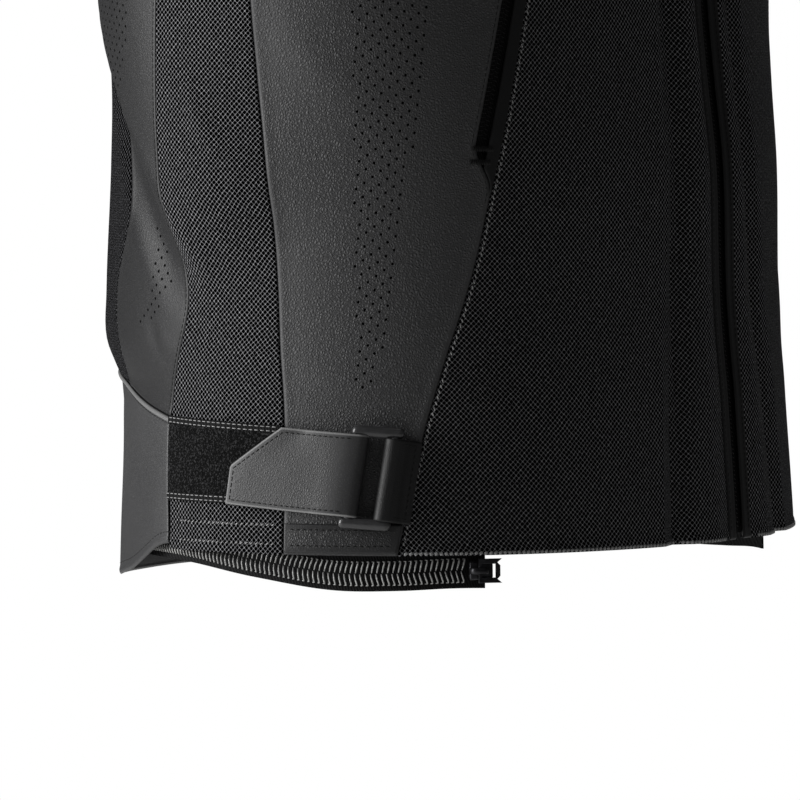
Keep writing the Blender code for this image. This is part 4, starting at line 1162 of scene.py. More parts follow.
def hook_and_loop(colours):
    # Brushed nylon loop tape: a dull, near-black nap with pale fibre tips
    made, tree, shader = new_finish("nylon_loop_tape", IOR=1.5, Specular_IOR_Level=0.15, Roughness=0.95)
    where = add_node(tree, "TexCoord", {}, "Object")
    sockets = {"Vector": where, "Scale": 1100.0, "Detail": 3.0, "Roughness": 0.75}
    nap = add_node(tree, "TexNoise", sockets, "Fac")
    tufts = add_node(tree, "TexNoise", {"Vector": where, "Scale": 1150.0, "Detail": 2.0}, "Fac")
    both = add_node(tree, "Math", {0: nap, 1: tufts}, operation="MULTIPLY")
    tips = add_node(tree, "MapRange", {"Value": both, "From Min": 0.25, "From Max": 0.36})
    sockets = {"Factor": tips, 6: (0.0012, 0.0012, 0.0013, 1.0), 7: tuple(colours.nap)}
    colour = add_node(tree, "Mix", sockets, 2, data_type="RGBA")
    bump = add_node(tree, "Bump", {"Height": both, "Strength": 1.0, "Distance": 0.0012})
    plug(tree, shader, {"Base Color": colour, "Normal": bump})
    return made


def zip_tape(colours):
    # Woven polyester tape in a fine twill, whose 0.6 mm ribs are drawn 1.2 mm wide so that they show
    made, tree, shader = new_finish("woven_polyester_tape", IOR=1.5, Specular_IOR_Level=0.2, Roughness=0.85)
    where = add_node(tree, "TexCoord", {}, "Object")
    turned = add_node(tree, "Mapping", {"Vector": where, "Rotation": (0.0, 0.6, 0.9)})
    sockets = {"Vector": turned, "Scale": 260.0, "Distortion": 1.2, "Detail": 1.0}
    ribs = add_node(tree, "TexWave", sockets, "Fac")
    sockets = {"Factor": ribs, 6: (0.002, 0.002, 0.002, 1.0), 7: tuple(colours.tape)}
    colour = add_node(tree, "Mix", sockets, 2, data_type="RGBA")
    bump = add_node(tree, "Bump", {"Height": ribs, "Strength": 0.8, "Distance": 0.0002})
    plug(tree, shader, {"Base Color": colour, "Normal": bump})
    return made


def plain_yarn(name, colour, rough, specular):
    """Thread or coil filament: one colour with fine lighter and darker flecks along it."""
    made, tree, shader = new_finish(name, IOR=1.5, Specular_IOR_Level=specular, Roughness=rough)
    where = add_node(tree, "TexCoord", {}, "Object")
    flecks = add_node(tree, "TexNoise", {"Vector": where, "Scale": 1400.0, "Detail": 2.0}, "Fac")
    tone = add_node(tree, "MapRange", {"Value": flecks, "From Min": 0.35, "From Max": 0.65})
    sockets = {"Factor": tone, 6: toned(colour, 0.6), 7: toned(colour, 1.4)}
    mixed = add_node(tree, "Mix", sockets, 2, data_type="RGBA")
    bump = add_node(tree, "Bump", {"Height": flecks, "Strength": 0.5, "Distance": 0.0001})
    plug(tree, shader, {"Base Color": mixed, "Normal": bump})
    return made


def dark_thread(colours):
    # Bonded black nylon thread: small dark stitches that catch a little light
    return plain_yarn("bonded_nylon_thread", colours.thread, 0.5, 0.4)


def light_thread(colours):
    # The same thread on the net and its bindings, where its loops stand up and look pale
    return plain_yarn("raised_nylon_thread", colours.pale_thread, 0.45, 0.5)


def coil_filament(colours):
    # Polyester monofilament wound into the zip's coil: silvery where it turns to the light
    return plain_yarn("zip_coil_monofilament", colours.coil, 0.32, 0.6)


def dark_coil_filament(colours):
    # The same filament in black, on the front and pocket zips
    return plain_yarn("black_coil_monofilament", colours.thread, 0.35, 0.5)


def blackened_metal(colours):
    # Die-cast zinc, barrel-finished and blackened: dark satin metal, rubbed paler in random patches
    made, tree, shader = new_finish("blackened_zinc", Metallic=0.85)
    where = add_node(tree, "TexCoord", {}, "Object")
    rub = add_node(tree, "TexNoise", {"Vector": where, "Scale": 420.0, "Detail": 3.0}, "Fac")
    tone = add_node(tree, "MapRange", {"Value": rub, "From Min": 0.4, "From Max": 0.62})
    sockets = {"Factor": tone, 6: tuple(colours.metal), 7: toned(colours.metal, 1.7)}
    mixed = add_node(tree, "Mix", sockets, 2, data_type="RGBA")
    rough = add_node(tree, "MapRange", {"Value": rub, "To Min": 0.26, "To Max": 0.46})
    bump = add_node(tree, "Bump", {"Height": rub, "Strength": 0.3, "Distance": 0.0001})
    plug(tree, shader, {"Base Color": mixed, "Roughness": rough, "Normal": bump})
    return made


def black_enamel(colours):
    # Steel ring in baked black enamel: deep black, with small clear highlights on its round bars
    made, tree, shader = new_finish(
        "black_baked_enamel", IOR=1.5, Specular_IOR_Level=0.6, Coat_Weight=0.3
    )
    where = add_node(tree, "TexCoord", {}, "Object")
    worn = add_node(tree, "TexNoise", {"Vector": where, "Scale": 500.0, "Detail": 3.0}, "Fac")
    sockets = {"Factor": worn, 6: tuple(colours.enamel), 7: toned(colours.enamel, 2.2)}
    mixed = add_node(tree, "Mix", sockets, 2, data_type="RGBA")
    rough = add_node(tree, "MapRange", {"Value": worn, "To Min": 0.24, "To Max": 0.44})
    plug(tree, shader, {"Base Color": mixed, "Roughness": rough})
    return made


def seamless_paper(colours):
    # Matt seamless paper under studio light: even and nearly white
    return new_finish(
        "seamless_paper", Roughness=0.95, Specular_IOR_Level=0.1, Base_Color=tuple(colours.paper),
        Emission_Color=WHITE, Emission_Strength=0.10,
    )[0]


WHITE = (1.0, 1.0, 1.0, 1.0)
FINISHES = {
    "leather": grained_leather,
    "front_leather": front_perforated_leather,
    "back_leather": back_perforated_leather,
    "back_plain": plain_back_leather,
    "strap": strap_leather,
    "belt": smooth_leather,
    "loop": loop_leather,
    "trim": trim_leather,
    "net": mesh_fabric,
    "shaded_back_net": shaded_back_net_fabric,
    "nap": hook_and_loop,
    "tape": zip_tape,
    "thread": dark_thread,
    "pale_thread": light_thread,
    "coil": coil_filament,
    "black_coil": dark_coil_filament,
    "metal": blackened_metal,
    "enamel": black_enamel,
    "paper": seamless_paper,
}
MADE = {}


def finish_for(name):
    """The named finish, made once."""
    if name not in MADE:
        MADE[name] = FINISHES[name](bpy.context.scene.jacket_colours)
    return MADE[name]


def colour_property(name, description, code):
    return bpy.props.FloatVectorProperty(
        name=name,
        description=description,
        subtype="COLOR",
        size=4,
        min=0.0,
        max=1.0,
        default=from_hex(code),
    )


class JacketColours(bpy.types.PropertyGroup):
    leather: colour_property("Leather", "Grained leather of the front, yokes and sleeves", "#4a4a4b")
    back_leather: colour_property("Back leather", "Smoother leather of the back", "#323233")
    belt: colour_property("Belt", "Nearly smooth leather of the belt", "#464647")
    # Lip: a painted highlight along the belt's turned upper edge
    lip: colour_property("Belt lip", "The belt's turned upper edge", "#7c7c7c")
    strap: colour_property("Strap", "Leather of the adjuster tabs", "#383839")
    # Cut edge: a painted highlight along the tabs' cut edges
    cut_edge_highlight: colour_property("Cut edge", "The tabs' cut edges", "#8a8a8a")
    trim: colour_property("Trim", "Welts and edges", "#161617")
    net: colour_property("Net", "Threads of the front and side mesh", "#6c6c6e")
    # Back net: the net's threads darkened as painted shade
    shaded_back_net: colour_property("Back net", "Threads of the back mesh", "#3c3c3e")
    nap: colour_property("Nap", "Fibre tips of the loop tape", "#3e3e3f")
    tape: colour_property("Tape", "Zip tapes", "#1c1c1d")
    thread: colour_property("Thread", "Sewing on leather", "#0c0c0c")
    pale_thread: colour_property("Raised thread", "Sewing on the net", "#a0a0a0")
    coil: colour_property("Coil", "The connection zip's coil", "#b4b4b2")
    enamel: colour_property("Enamel", "Ring buckles", "#2c2c2d")
    metal: colour_property("Metal", "Ring, sliders and pulls", "#2e2e30")
    paper: colour_property("Paper", "Floor", "#f4f4f3")


class JacketSizes(bpy.types.PropertyGroup):
    stitch_pitch: bpy.props.FloatProperty(
        name="Stitch pitch",
        description="From one stitch to the next",
        default=0.0028,
        min=0.0015,
        max=0.006,
        unit="LENGTH",
    )
    coil_pitch: bpy.props.FloatProperty(
        name="Coil pitch",
        description="From one turn of the connection zip's coil to the next",
        default=0.0024,
        min=0.0015,
        max=0.004,
        unit="LENGTH",
    )


# The pieces


def hem_turn(edges):
    """The hem's turning makes the lowest band of cloth stand out, above a shallow line."""
    over = edges[2]
    return 0.45 * (1 - ease((over - 3.6) / 0.8)) - 0.3 * hump(over - 5.0, 1.2)


class JACKET_OT_net_panels(bpy.types.Operator):
    """Cut and hang the mesh panels of the front, the sides and the back"""

    bl_idname = "jacket.net_panels"
    bl_label = "Mesh panels"

    def execute(self, context):
        hem, chest = level(0.0), level(CHEST_SEAM)
        edge = angle_across(EDGE_OUT)
        for side in SIDES:
            made = panel(
                seam("front"), edge, hem, chest, side, origin=edge,
                rolls=(MESH_ROLL, MESH_ROLL, None, MESH_ROLL), relief=hem_turn,
            )
            add_cloth("net_front", made, MESH_CLOTH, "net", "front_mesh", side)
            made = panel(
                seam("side_back"), seam("side_front"), hem, armhole_floor, side,
                rolls=(SOFT_ROLL, MESH_ROLL, None, MESH_ROLL), relief=hem_turn, cell=3.4,
            )
            add_cloth("net_side", made, MESH_CLOTH, "net", "side_mesh", side)
        made = panel(
            straight(180.0), seam("back_mesh"), belt_top, chest, 0, origin=straight(180.0),
            rolls=(None, MESH_ROLL, MESH_ROLL, MESH_ROLL),
        )
        add_cloth("net_back", both_halves(made), MESH_CLOTH, "shaded_back_net", "back_mesh")
        return {"FINISHED"}


class JACKET_OT_leather_panels(bpy.types.Operator):
    """Cut and hang the leather panels of the front and the back"""

    bl_idname = "jacket.leather_panels"
    bl_label = "Leather panels"

    def execute(self, context):
        hem = level(0.0)
        for side in SIDES:
            made = panel(
                seam("side_front"), pocket_seam, hem, armhole_floor, side,
                origin=straight(75.9), rolls=(LEATHER_ROLL, LEATHER_ROLL, HEM_ROLL, LEATHER_ROLL),
            )
            finish = "front_leather"
            add_cloth("leather_front", made, LEATHER, finish, "front_leather", side)
            made = panel(
                seam("back_mesh"), seam("side_back"), belt_top, armhole_floor, side,
                origin=straight(110.0), cell=3.2, rolls=(LEATHER_ROLL, SOFT_ROLL, LEATHER_ROLL, LEATHER_ROLL),
            )
            finish = "back_leather"
            add_cloth("leather_back", made, LEATHER, finish, "back_leather", side)
        return {"FINISHED"}


class JACKET_OT_belt(bpy.types.Operator):
    """Cut and hang the back waist belt, with its rolled upper edge and its sewn hem"""

    bl_idname = "jacket.belt"
    bl_label = "Waist belt"

    def execute(self, context):
        def lip_and_hem(edges):
            low, top = edges[2:]
            lip = 0.75 * hump(top - 1.2, 1.7) - 0.6 * hump(top - 3.4, 1.0)
            return lip - 0.35 * hump(low - BELT_SEWING_UP, 1.0)

        made = panel(
            straight(180.0), belt_front, belt_low, belt_top, 0, out=0.5, cell=3.2,
            origin=straight(180.0), relief=lip_and_hem, rolls=(None, CUT_ROLL, HEM_ROLL, CUT_ROLL), rims=(3,),
        )
        add_cloth("leather_belt", both_halves(made), BELT_WALL, "belt", "back_belt")
        rows = []
        angles = np.linspace(105.2, 180.0, 80)
        for side in SIDES:
            rows.append(body_row(angles, belt_low(angles) + BELT_SEWING_UP, 0.42, side))
            rows.append(body_row(angles, belt_top(angles) - 3.3, 0.1, side))
        add_stitches("belt_hem_stitches", rows)
        return {"FINISHED"}


class JACKET_OT_yokes(bpy.types.Operator):
    """Cut and hang the yokes and the collar"""

    bl_idname = "jacket.yokes"
    bl_label = "Yokes and collar"

    def execute(self, context):
        chest, neck = level(CHEST_SEAM), level(NECK)
        edge = angle_across(EDGE_OUT)
        rows = [*np.arange(440, 546, 4.5), *ARMHOLE_TOP_ROWS, *np.arange(575, 690, 4.5)]
        for side in SIDES:
            made = panel(
                shoulder_seam(-1), edge, chest, neck, side, rows=rows, cell=4.5, origin=edge,
                rolls=(LEATHER_ROLL, LEATHER_ROLL, LEATHER_ROLL, None),
            )
            add_cloth(
                "leather_yoke_front", made, LEATHER, "leather", "front_yoke", side
            )
        made = panel(
            straight(180.0), shoulder_seam(1), chest, neck, 0, rows=rows, cell=4.5,
            origin=straight(180.0), rolls=(None, LEATHER_ROLL, LEATHER_ROLL, None),
        )
        made = both_halves(made)
        add_cloth("leather_yoke_back", made, LEATHER, "leather", "back_yoke")
        self.add_collar()
        rows = []
        for side in SIDES:
            angles = np.linspace(13, 38, 30)
            rows.append(body_row(angles, CHEST_SEAM + 5.0, 0.1, side))
            angles = np.linspace(128, 180, 60)
            rows.append(body_row(angles, CHEST_SEAM + 5.0, 0.1, side))
            ups = np.linspace(572, 690, 50)
            rows.append(body_row(90 + degrees_for(4.5, 90, ups), ups, 0.1, side))
        add_stitches("yoke_stitches", rows)
        return {"FINISHED"}

    def add_collar(self):
        start = float(angle_across(EDGE_IN + 1.0)(NECK))
        fixed, share = stations(float(degrees_to_mm(180 - start)), 4.0)
        way = (fixed / degrees_to_mm(180 - start) + share) * (180 - start)
        rise_fixed, rise_share = stations(COLLAR_HEIGHT, 3.6)
        height = rise_fixed + rise_share * COLLAR_HEIGHT
        angle, rise = np.meshgrid(180 - way, height)
        points = collar(angle, rise - COLLAR_SEAT * (1 - ease(rise / 6.0)))
        turn = np.radians(angle)
        outwards = np.stack([-np.sin(turn), -np.cos(turn), np.zeros_like(turn)], axis=-1)
        ends = degrees_to_mm(angle - start)
        edges = (ends * 0 + NO_EDGE, ends, rise, COLLAR_HEIGHT - rise)
        lift = sum(edge_roll(distance, LEATHER_ROLL) for distance in edges[1:])
        lift = lift - 0.4 * hump(edges[3] - COLLAR_SEWING_DOWN, 1.6) + collar_waves(angle, rise)
        points = points + outwards * lift[..., None]
        flat = np.stack([degrees_to_mm(180 - angle), rise], axis=-1)
        made = both_halves((points, flat, np.minimum.reduce(edges)))
        add_cloth("leather_collar", made, COLLAR_WALL, "leather", "collar")
        rows = []
        for side in SIDES:
            angles = np.linspace(start + 3, 180, 120)
            turn = np.radians(angles)
            normal = np.stack([-np.sin(turn), -np.cos(turn), np.zeros_like(turn)], axis=-1)
            flip = mirror(side)
            rise = COLLAR_HEIGHT - COLLAR_SEWING_DOWN
            points = collar(angles, np.full(angles.shape, rise))
            points = points + normal * (-0.2 + collar_waves(angles, rise))[:, None]
            rows.append((points * flip, normal * flip))
        add_stitches("collar_stitches", rows)


def collar_waves(angle, rise):
    """The collar's soft waves round the neck."""
    return 0.7 * np.sin(angle / 11.0) * hump(rise - 20, 22)


def degrees_to_mm(degrees):
    """Way round the neck for an angle, at its mean radius."""
    return np.asarray(degrees) * 1.16


class JACKET_OT_sleeves(bpy.types.Operator):
    """Cut and set in the two-piece sleeves"""

    bl_idname = "jacket.sleeves"
    bl_label = "Sleeves"

    def execute(self, context):
        end = SLEEVE[-1][0]
        fixed, share = stations(end + SLEEVE_BAND, SLEEVE_CELL)
        along = fixed + share * (end + SLEEVE_BAND) - SLEEVE_BAND
        for side in SIDES:
            for stem, start, stop in (
                ("upper", SLEEVE_BACK_SEAM - 360, SLEEVE_FRONT_SEAM),
                ("under", SLEEVE_FRONT_SEAM, SLEEVE_BACK_SEAM),
            ):
                per_degree = SLEEVE_MM_PER_DEGREE
                span = (stop - start) * per_degree
                fixed, share = stations(span, SLEEVE_CELL)
                at = start + (fixed + share * span) / per_degree
                turn, way = np.meshgrid(at, along)
                scale = smooth_row(SLEEVE, np.clip(way, 0, end))[..., 2] / SLEEVE_USUAL_HALF
                edges = (
                    (turn - start) * per_degree * scale,
                    (stop - turn) * per_degree * scale,
                    way + SLEEVE_BAND + NO_EDGE,
                    end - way,
                )
                points = sleeve(way, turn)
                round_it = sleeve(way, turn + 0.5) - sleeve(way, turn - 0.5)
                onwards = sleeve(way + 0.5, turn) - sleeve(way - 0.5, turn)
                normal = np.cross(round_it, onwards)
                normal /= np.linalg.norm(normal, axis=-1, keepdims=True)
                rolls = [edge_roll(np.maximum(distance, 0), LEATHER_ROLL) for distance in edges]
                lift = (rolls[0] + rolls[1]) * ease((way - 2.0) / 12.0) + rolls[2] + rolls[3]
                for at_turn in (turn, turn + 360):
                    creases = crease_relief(SLEEVE_CREASES, way, at_turn, side, 1.0, per_degree)
                    lift = lift + creases * ease(way / 60)
                points = points + normal * lift[..., None]
                flat = np.stack([turn * per_degree * scale, way], axis=-1)
                made = points, flat, np.minimum.reduce(edges)
                node = f"sleeve_{stem}"
                add_cloth(f"leather_{node}", made, LEATHER, "leather", node, side)
        return {"FINISHED"}


def strap_place(along, across, out):
    """A point of the adjuster: along the strap from the ring's left bar, across it, and out."""
    along, across, out = np.broadcast_arrays(*(np.asarray(v, float) for v in (along, across, out)))
    tilt = math.radians(RING_TILT)
    fall = np.radians(np.where(along < 0, TAB_TILT, RING_TILT))
    ahead = along * np.cos(fall) + across * math.sin(tilt)
    up = RING_UP + across * math.cos(tilt) - along * np.sin(fall)
    return body(RING_ANGLE - degrees_for(ahead, RING_ANGLE, up), up, out)


STRAP_TOP = BAR_OUT + RING_WIRE / 2 + STRAP_CLEARANCE + STRAP


def round_bar(side, count=13):
    """Way and height of a strap's outer face as it turns round a bar, from the top down."""
    reach = RING_WIRE / 2 + STRAP_CLEARANCE + STRAP
    turns = np.radians(np.linspace(0, 180, count))
    return [(side * reach * math.sin(t), BAR_OUT + reach * math.cos(t)) for t in turns]


def tab_profile(across):
    """Way and height of the tab's outer face, from its tip round the ring's bar and under."""
    half = TAB_HEIGHT / 2
    cut = max(0.0, across - (half - TAB_CHAMFER_HEIGHT)) / TAB_CHAMFER_HEIGHT
    tip = -TAB_LENGTH + TAB_CHAMFER * cut
    places = [(tip, 4.5), (tip + 2.5, 4.6), (tip * 0.62 - 3, 4.6), (-21.0, 6.2)]
    places += [(-9.5, STRAP_TOP - 1.0), (-4.0, STRAP_TOP)]
    return places + round_bar(1) + [(-8.0, 1.3), (-TAB_RETURN, 1.2)]


def anchor_profile(across):
    """Way and height of the anchor loop's outer face, from under the bar round to its sewn end."""
    end = RING_BARS_APART + ANCHOR_LENGTH
    turn = [(RING_BARS_APART + way, out) for way, out in round_bar(-1)]
    places = [(end + 1.2, 2.9), (end - 3, 3.6), (RING_BARS_APART + 4, STRAP_TOP - 0.7)]
    return (places + turn + [(RING_BARS_APART + 5.0, 1.1)])[::-1]


def rounded(places, rounds=2):
    """A path with its corners cut softly round."""
    path = np.array(places, float)
    for _ in range(rounds):
        first, second = path[:-1], path[1:]
        cut = np.stack([0.75 * first + 0.25 * second, 0.25 * first + 0.75 * second], axis=1)
        path = np.concatenate([path[:1], cut.reshape(-1, 2), path[-1:]])
    return path


def spread(path, fixed, share):
    """Points of a path at ways that are a fixed part and a share of its length."""
    way = np.concatenate([[0.0], np.cumsum(np.linalg.norm(np.diff(path, axis=0), axis=-1))])
    at = fixed + share * way[-1]
    return np.stack([np.interp(at, way, path[:, i]) for i in range(2)], axis=-1), at


def strap_panel(profile, cell=1.3):
    """A strap's outer face as a grid, with its flat places and its distance from the cut edge."""
    half = TAB_HEIGHT / 2
    steps = (0.0, 0.2, 0.45, 0.8, 1.3)
    across_fixed, across_share = stations(TAB_HEIGHT, cell, steps)
    acrosses = across_fixed + across_share * TAB_HEIGHT - half
    fixed, share = stations(STRAP_LONGEST, cell, steps)
    points, flat, nearest = [], [], []
    slope = math.hypot(TAB_CHAMFER, TAB_CHAMFER_HEIGHT) / TAB_CHAMFER_HEIGHT
    for across in acrosses:
        places, at = spread(rounded(profile(across)), fixed, share)
        side_edge = min(half - abs(across), FAR_FROM_EDGE) if abs(across) < half else 0.0
        edge = np.minimum(at / slope if across > half - TAB_CHAMFER_HEIGHT else at, side_edge)
        ahead = np.gradient(places, axis=0)
        ahead /= np.linalg.norm(ahead, axis=-1, keepdims=True)
        normal = np.stack([-ahead[:, 1], ahead[:, 0]], axis=-1)
        places = places + edge_roll(edge, CUT_ROLL)[:, None] * normal
        points.append(strap_place(places[:, 0], across, places[:, 1]))
        flat.append(np.stack([at + places[0, 0], np.full(at.shape, across)], axis=-1))
        nearest.append(edge)
    return np.array(points), np.array(flat), np.array(nearest)


def strap_row(places, profile, out=0.05, side=1):
    """A sewing path over a strap, through (way, across) places, with its normals."""
    rows = []
    for way, across in places:
        path = rounded(profile(across))
        top = path[: np.argmax(path[:, 0]) + 1] if profile is tab_profile else path[np.argmin(path[:, 0]) :]
        order = np.argsort(top[:, 0])
        height = float(np.interp(way, top[order, 0], top[order, 1]))
        rows.append((way, across, height + out))
    way, across, height = np.array(rows).T
    points = strap_place(way, across, height)
    ahead = strap_place(way + 0.3, across, height) - points
    rise = strap_place(way, across + 0.3, height) - points
    normals = np.cross(ahead, rise)
    normals /= np.linalg.norm(normals, axis=-1, keepdims=True)
    outwards = body_normal(np.full(way.shape, RING_ANGLE), RING_UP + across)
    normals *= np.sign((normals * outwards).sum(axis=-1, keepdims=True))
    flip = mirror(side)
    return points * flip, normals * flip


def between(places, step=1.0):
    """Even points along straight lines through the places."""
    out = []
    for (x0, y0), (x1, y1) in zip(places, places[1:]):
        count = max(2, int(math.hypot(x1 - x0, y1 - y0) / step))
        out += [(x0 + (x1 - x0) * i / count, y0 + (y1 - y0) * i / count) for i in range(count)]
    return out + [places[-1]]


def ring_mesh(name, side):
    """The ring buckle: two round bars, with a flat rounded slab across them at each end."""
    turns = np.radians(np.arange(0, 360, 22.5))
    made = bmesh.new()
    flip = mirror(side)
    high = RING_INSIDE / 2 + RING_WIRE / 2 + SLAB["in"]
    for way in (0.0, RING_BARS_APART):
        rings = [
            strap_place(
                way + RING_WIRE / 2 * np.cos(turns), across, BAR_OUT + RING_WIRE / 2 * np.sin(turns)
            )
            for across in np.linspace(-high, high, 16)
        ]
        join(made, loft("bar", np.array(rings) * flip))
    start, end = -SLAB["past"], RING_BARS_APART + SLAB["past"]
    ways = start + (end - start) * (1 - np.cos(np.linspace(0, math.pi, 25))) / 2
    for end_side in (-1, 1):
        rings = []
        for way in ways:
            close = min(way - start, end - way) / SLAB["round"]
            size = math.sqrt(max(0.0, 1 - max(0.0, 1 - close) ** 2)) + 0.02
            level_back = (way - RING_BARS_APART / 2) * math.radians(SLAB["turned_back"])
            across, out = superellipse(turns)
            across = end_side * high + level_back + SLAB["tall"] / 2 * size * across
            rings.append(strap_place(way, across, BAR_OUT + SLAB["deep"] / 2 * size * out))
        join(made, loft("slab", np.array(rings) * flip))
    return mesh_from(name, made)


def superellipse(turns):
    """Across and out of a softly squared section."""
    power = 0.85
    across = np.sign(np.cos(turns)) * np.abs(np.cos(turns)) ** power
    out = np.sign(np.sin(turns)) * np.abs(np.sin(turns)) ** power
    return across, out


class JACKET_OT_front_closure(bpy.types.Operator):
    """Sew the leather edges and the zip down the front"""

    bl_idname = "jacket.front_closure"
    bl_label = "Front closure"

    def execute(self, context):
        hem, neck = level(0.0), level(NECK)
        outer, inner = angle_across(EDGE_OUT), angle_across(EDGE_IN)
        rows = [*np.arange(6, 546, 6.0), *ARMHOLE_TOP_ROWS, *np.arange(575, 690, 5.0)]
        sewing = []
        for side in SIDES:
            made = panel(
                outer, inner, hem, neck, side, out=0.5, cell=1.6, rows=rows, steps=NARROW_STEPS,
                rolls=(NARROW_ROLL,) * 4, creased=False, origin=outer,
            )
            add_cloth(
                "leather_edge", made, LEATHER, "trim", "front_edge", side, "net_front"
            )
            ups = np.linspace(4, NECK - 6, 240)
            sewing.append(body_row(angle_across(EDGE_OUT - 2.2)(ups), ups, 0.58, side, False))
        add_stitches("edge_stitches", sewing)
        half = FRONT_TAPE["half_width"]
        made = panel(
            angle_across(half), lambda up: -angle_across(half)(up), level(3.0), level(NECK - 6.0), 0,
            out=FRONT_TAPE["back"] + TAPE, cell=3.0, rows=rows, steps=NARROW_STEPS,
            rolls=(None,) * 4, creased=False, origin=straight(0.0),
        )
        add_cloth("front_zip_tape", made, TAPE, "tape", "front_zip")
        ups = np.linspace(5, NECK - FRONT_SLIDER_DOWN - 4, 400)
        path = body_row(ups * 0.0, ups, FRONT_TAPE["back"] + TAPE, 1, False)
        add_coils("front_zip", *path, FRONT_TAPE["half_chain"], 2.0, "black_coil")
        return {"FINISHED"}


class JACKET_OT_pockets(bpy.types.Operator):
    """Sew the welts and the zips of the slanted pockets"""

    bl_idname = "jacket.pockets"
    bl_label = "Pockets"

    def execute(self, context):
        tacks, sewing = [], []
        for side in SIDES:
            made = panel(
                lambda up: pocket_line(up, welt_width(up)), seam("front"), level(WELT_LOW),
                level(WELT_HIGH), side, out=0.5, cell=1.2, steps=(0.0, 0.2, 0.5), creased=False,
                rows=np.arange(WELT_LOW + 4, WELT_HIGH - 2, 4.0), rolls=(NARROW_ROLL,) * 4,
            )
            add_cloth(
                "leather_welt", made, WELT_WALL, "trim", "pocket_welt", side,
                "leather_front",
            )
            past, half = POCKET_TAPE["past_slot"], POCKET_TAPE["half_width"]
            middle = WELT_WIDTH + SLOT_WIDTH / 2
            low, high = POCKET_LOW - past, POCKET_HIGH + past
            made = panel(
                lambda up: pocket_line(up, middle + half), lambda up: pocket_line(up, middle - half),
                level(low), level(high), side, out=POCKET_TAPE["back"] + TAPE, cell=2.5,
                steps=NARROW_STEPS, rolls=(None,) * 4, creased=False,
                rows=np.arange(low + 5, high - 3, 5.0),
            )
            add_cloth("pocket_tape", made, TAPE, "tape", "pocket_zip", side)
            ups = np.linspace(POCKET_LOW + 1, POCKET_HIGH - POCKET_SLIDER_DOWN - 6, 90)
            path = body_row(pocket_line(ups, middle), ups, POCKET_TAPE["back"] + TAPE, side, False)
            add_coils("pocket" + SUFFIX[side], *path, POCKET_TAPE["half_chain"], 2.0, "black_coil")
            for up in (POCKET_LOW - 9, POCKET_LOW - 3, POCKET_HIGH + 3):
                offsets = np.linspace(WELT_WIDTH * 0.6, WELT_WIDTH + SLOT_WIDTH + 1.5, 12)
                ups = np.full(12, float(up))
                tacks.append(body_row(pocket_line(ups, offsets), ups, 0.62, side))
            ups = np.linspace(WELT_LOW - 4, WELT_HIGH + 4, 120)
            sewing.append(body_row(pocket_line(ups, pocket_offset(ups) + 2.2), ups, 0.15, side))
        add_stitches("pocket_bar_tacks", tacks, size=(2.4, 0.6, 0.5), pitch=0.9, lean=math.pi / 2)
        add_stitches("pocket_stitches", sewing)
        return {"FINISHED"}


class JACKET_OT_adjusters(bpy.types.Operator):
    """Sew on the waist adjusters: loop tapes, tabs, ring buckles and anchor loops"""

    bl_idname = "jacket.adjusters"
    bl_label = "Waist adjusters"

    def execute(self, context):
        back, front = seam("side_back"), seam("side_front")
        half = TAB_HEIGHT / 2
        bindings, sewing = [], []
        for side in SIDES:
            inset = 0.02
            made = panel(
                lambda up: back(up) - inset * (back(up) - front(up)),
                lambda up: front(up) + inset * (back(up) - front(up)),
                level(HOOK_STRIP_LOW), level(HOOK_STRIP_TOP), side, out=1.9, cell=1.6,
                rolls=(CUT_ROLL,) * 4, steps=NARROW_STEPS, creased=False,
            )
            points, flat, nearest = made
            across, up = np.moveaxis(flat, -1, 0)
            nap = 0.12 * np.sin(across * 2.9 + 1.7 * np.sin(up * 1.3)) * np.sin(up * 3.1)
            made = points + body_normal(*round_and_up(points)) * nap[..., None], flat, nearest
            add_cloth("loop_tape", made, LOOP_TAPE, "nap", "hook_strip", side)
            for stem, start, end in (("upper", 59.0, 56.3), ("lower", 24.2, 24.0)):
                middle = binding_line(start, end)
                made = panel(
                    lambda up: back(up) - 0.15, lambda up: front(up) + 0.1, lambda a: middle(a) - 1.75,
                    lambda a: middle(a) + 1.75, side, out=2.15, cell=2.0, steps=NARROW_STEPS,
                    rolls=(CUT_ROLL,) * 4, creased=False,
                )
                add_cloth(f"binding_{stem}", made, 0.7, "tape", None, side, "net_side")
                angles = np.linspace(106.3, 86.9, 60)
                for off in (-0.95, 0.95):
                    bindings.append(body_row(angles, middle(angles) + off, 2.2, side, False))
            made = strap_panel(tab_profile)
            add_cloth("strap_tab", made, STRAP, "strap", "adjuster_tab", side)
            made = strap_panel(anchor_profile)
            add_cloth("strap_anchor", made, STRAP, "loop", "anchor_loop", side)
            tip = -TAB_LENGTH + 2.2
            shoulder = half - TAB_CHAMFER_HEIGHT
            outline = [
                (-3.0, 2.1 - half), (tip, 2.1 - half), (tip, shoulder - 0.9),
                (tip + TAB_CHAMFER - 1.0, half - 2.2), (-3.0, half - 2.2),
            ]
            sewing.append(strap_row(between(outline), tab_profile, 0.05, side))
            end = RING_BARS_APART + ANCHOR_LENGTH
            outline = [(end - 7.0, half - 2.2), (end - 1.4, half - 2.2)]
            outline += [(way, -across) for way, across in outline[::-1]]
            sewing.append(strap_row(between(outline), anchor_profile, 0.05, side))
            mesh = ring_mesh("ring_buckle" + SUFFIX[side], side)
            add_piece(mesh.name, mesh, "enamel", ["ring" + SUFFIX[side]])
        add_stitches("binding_stitches", bindings, "pale_thread", (2.0, 0.42, 0.36), 3.0)
        add_stitches("strap_stitches", sewing)
        return {"FINISHED"}


def binding_line(start, end):
    """A way up that goes evenly from the back seam to the front seam of the side."""
    return lambda angle: end + (start - end) * (np.asarray(angle, float) - 86.5) / 20.3


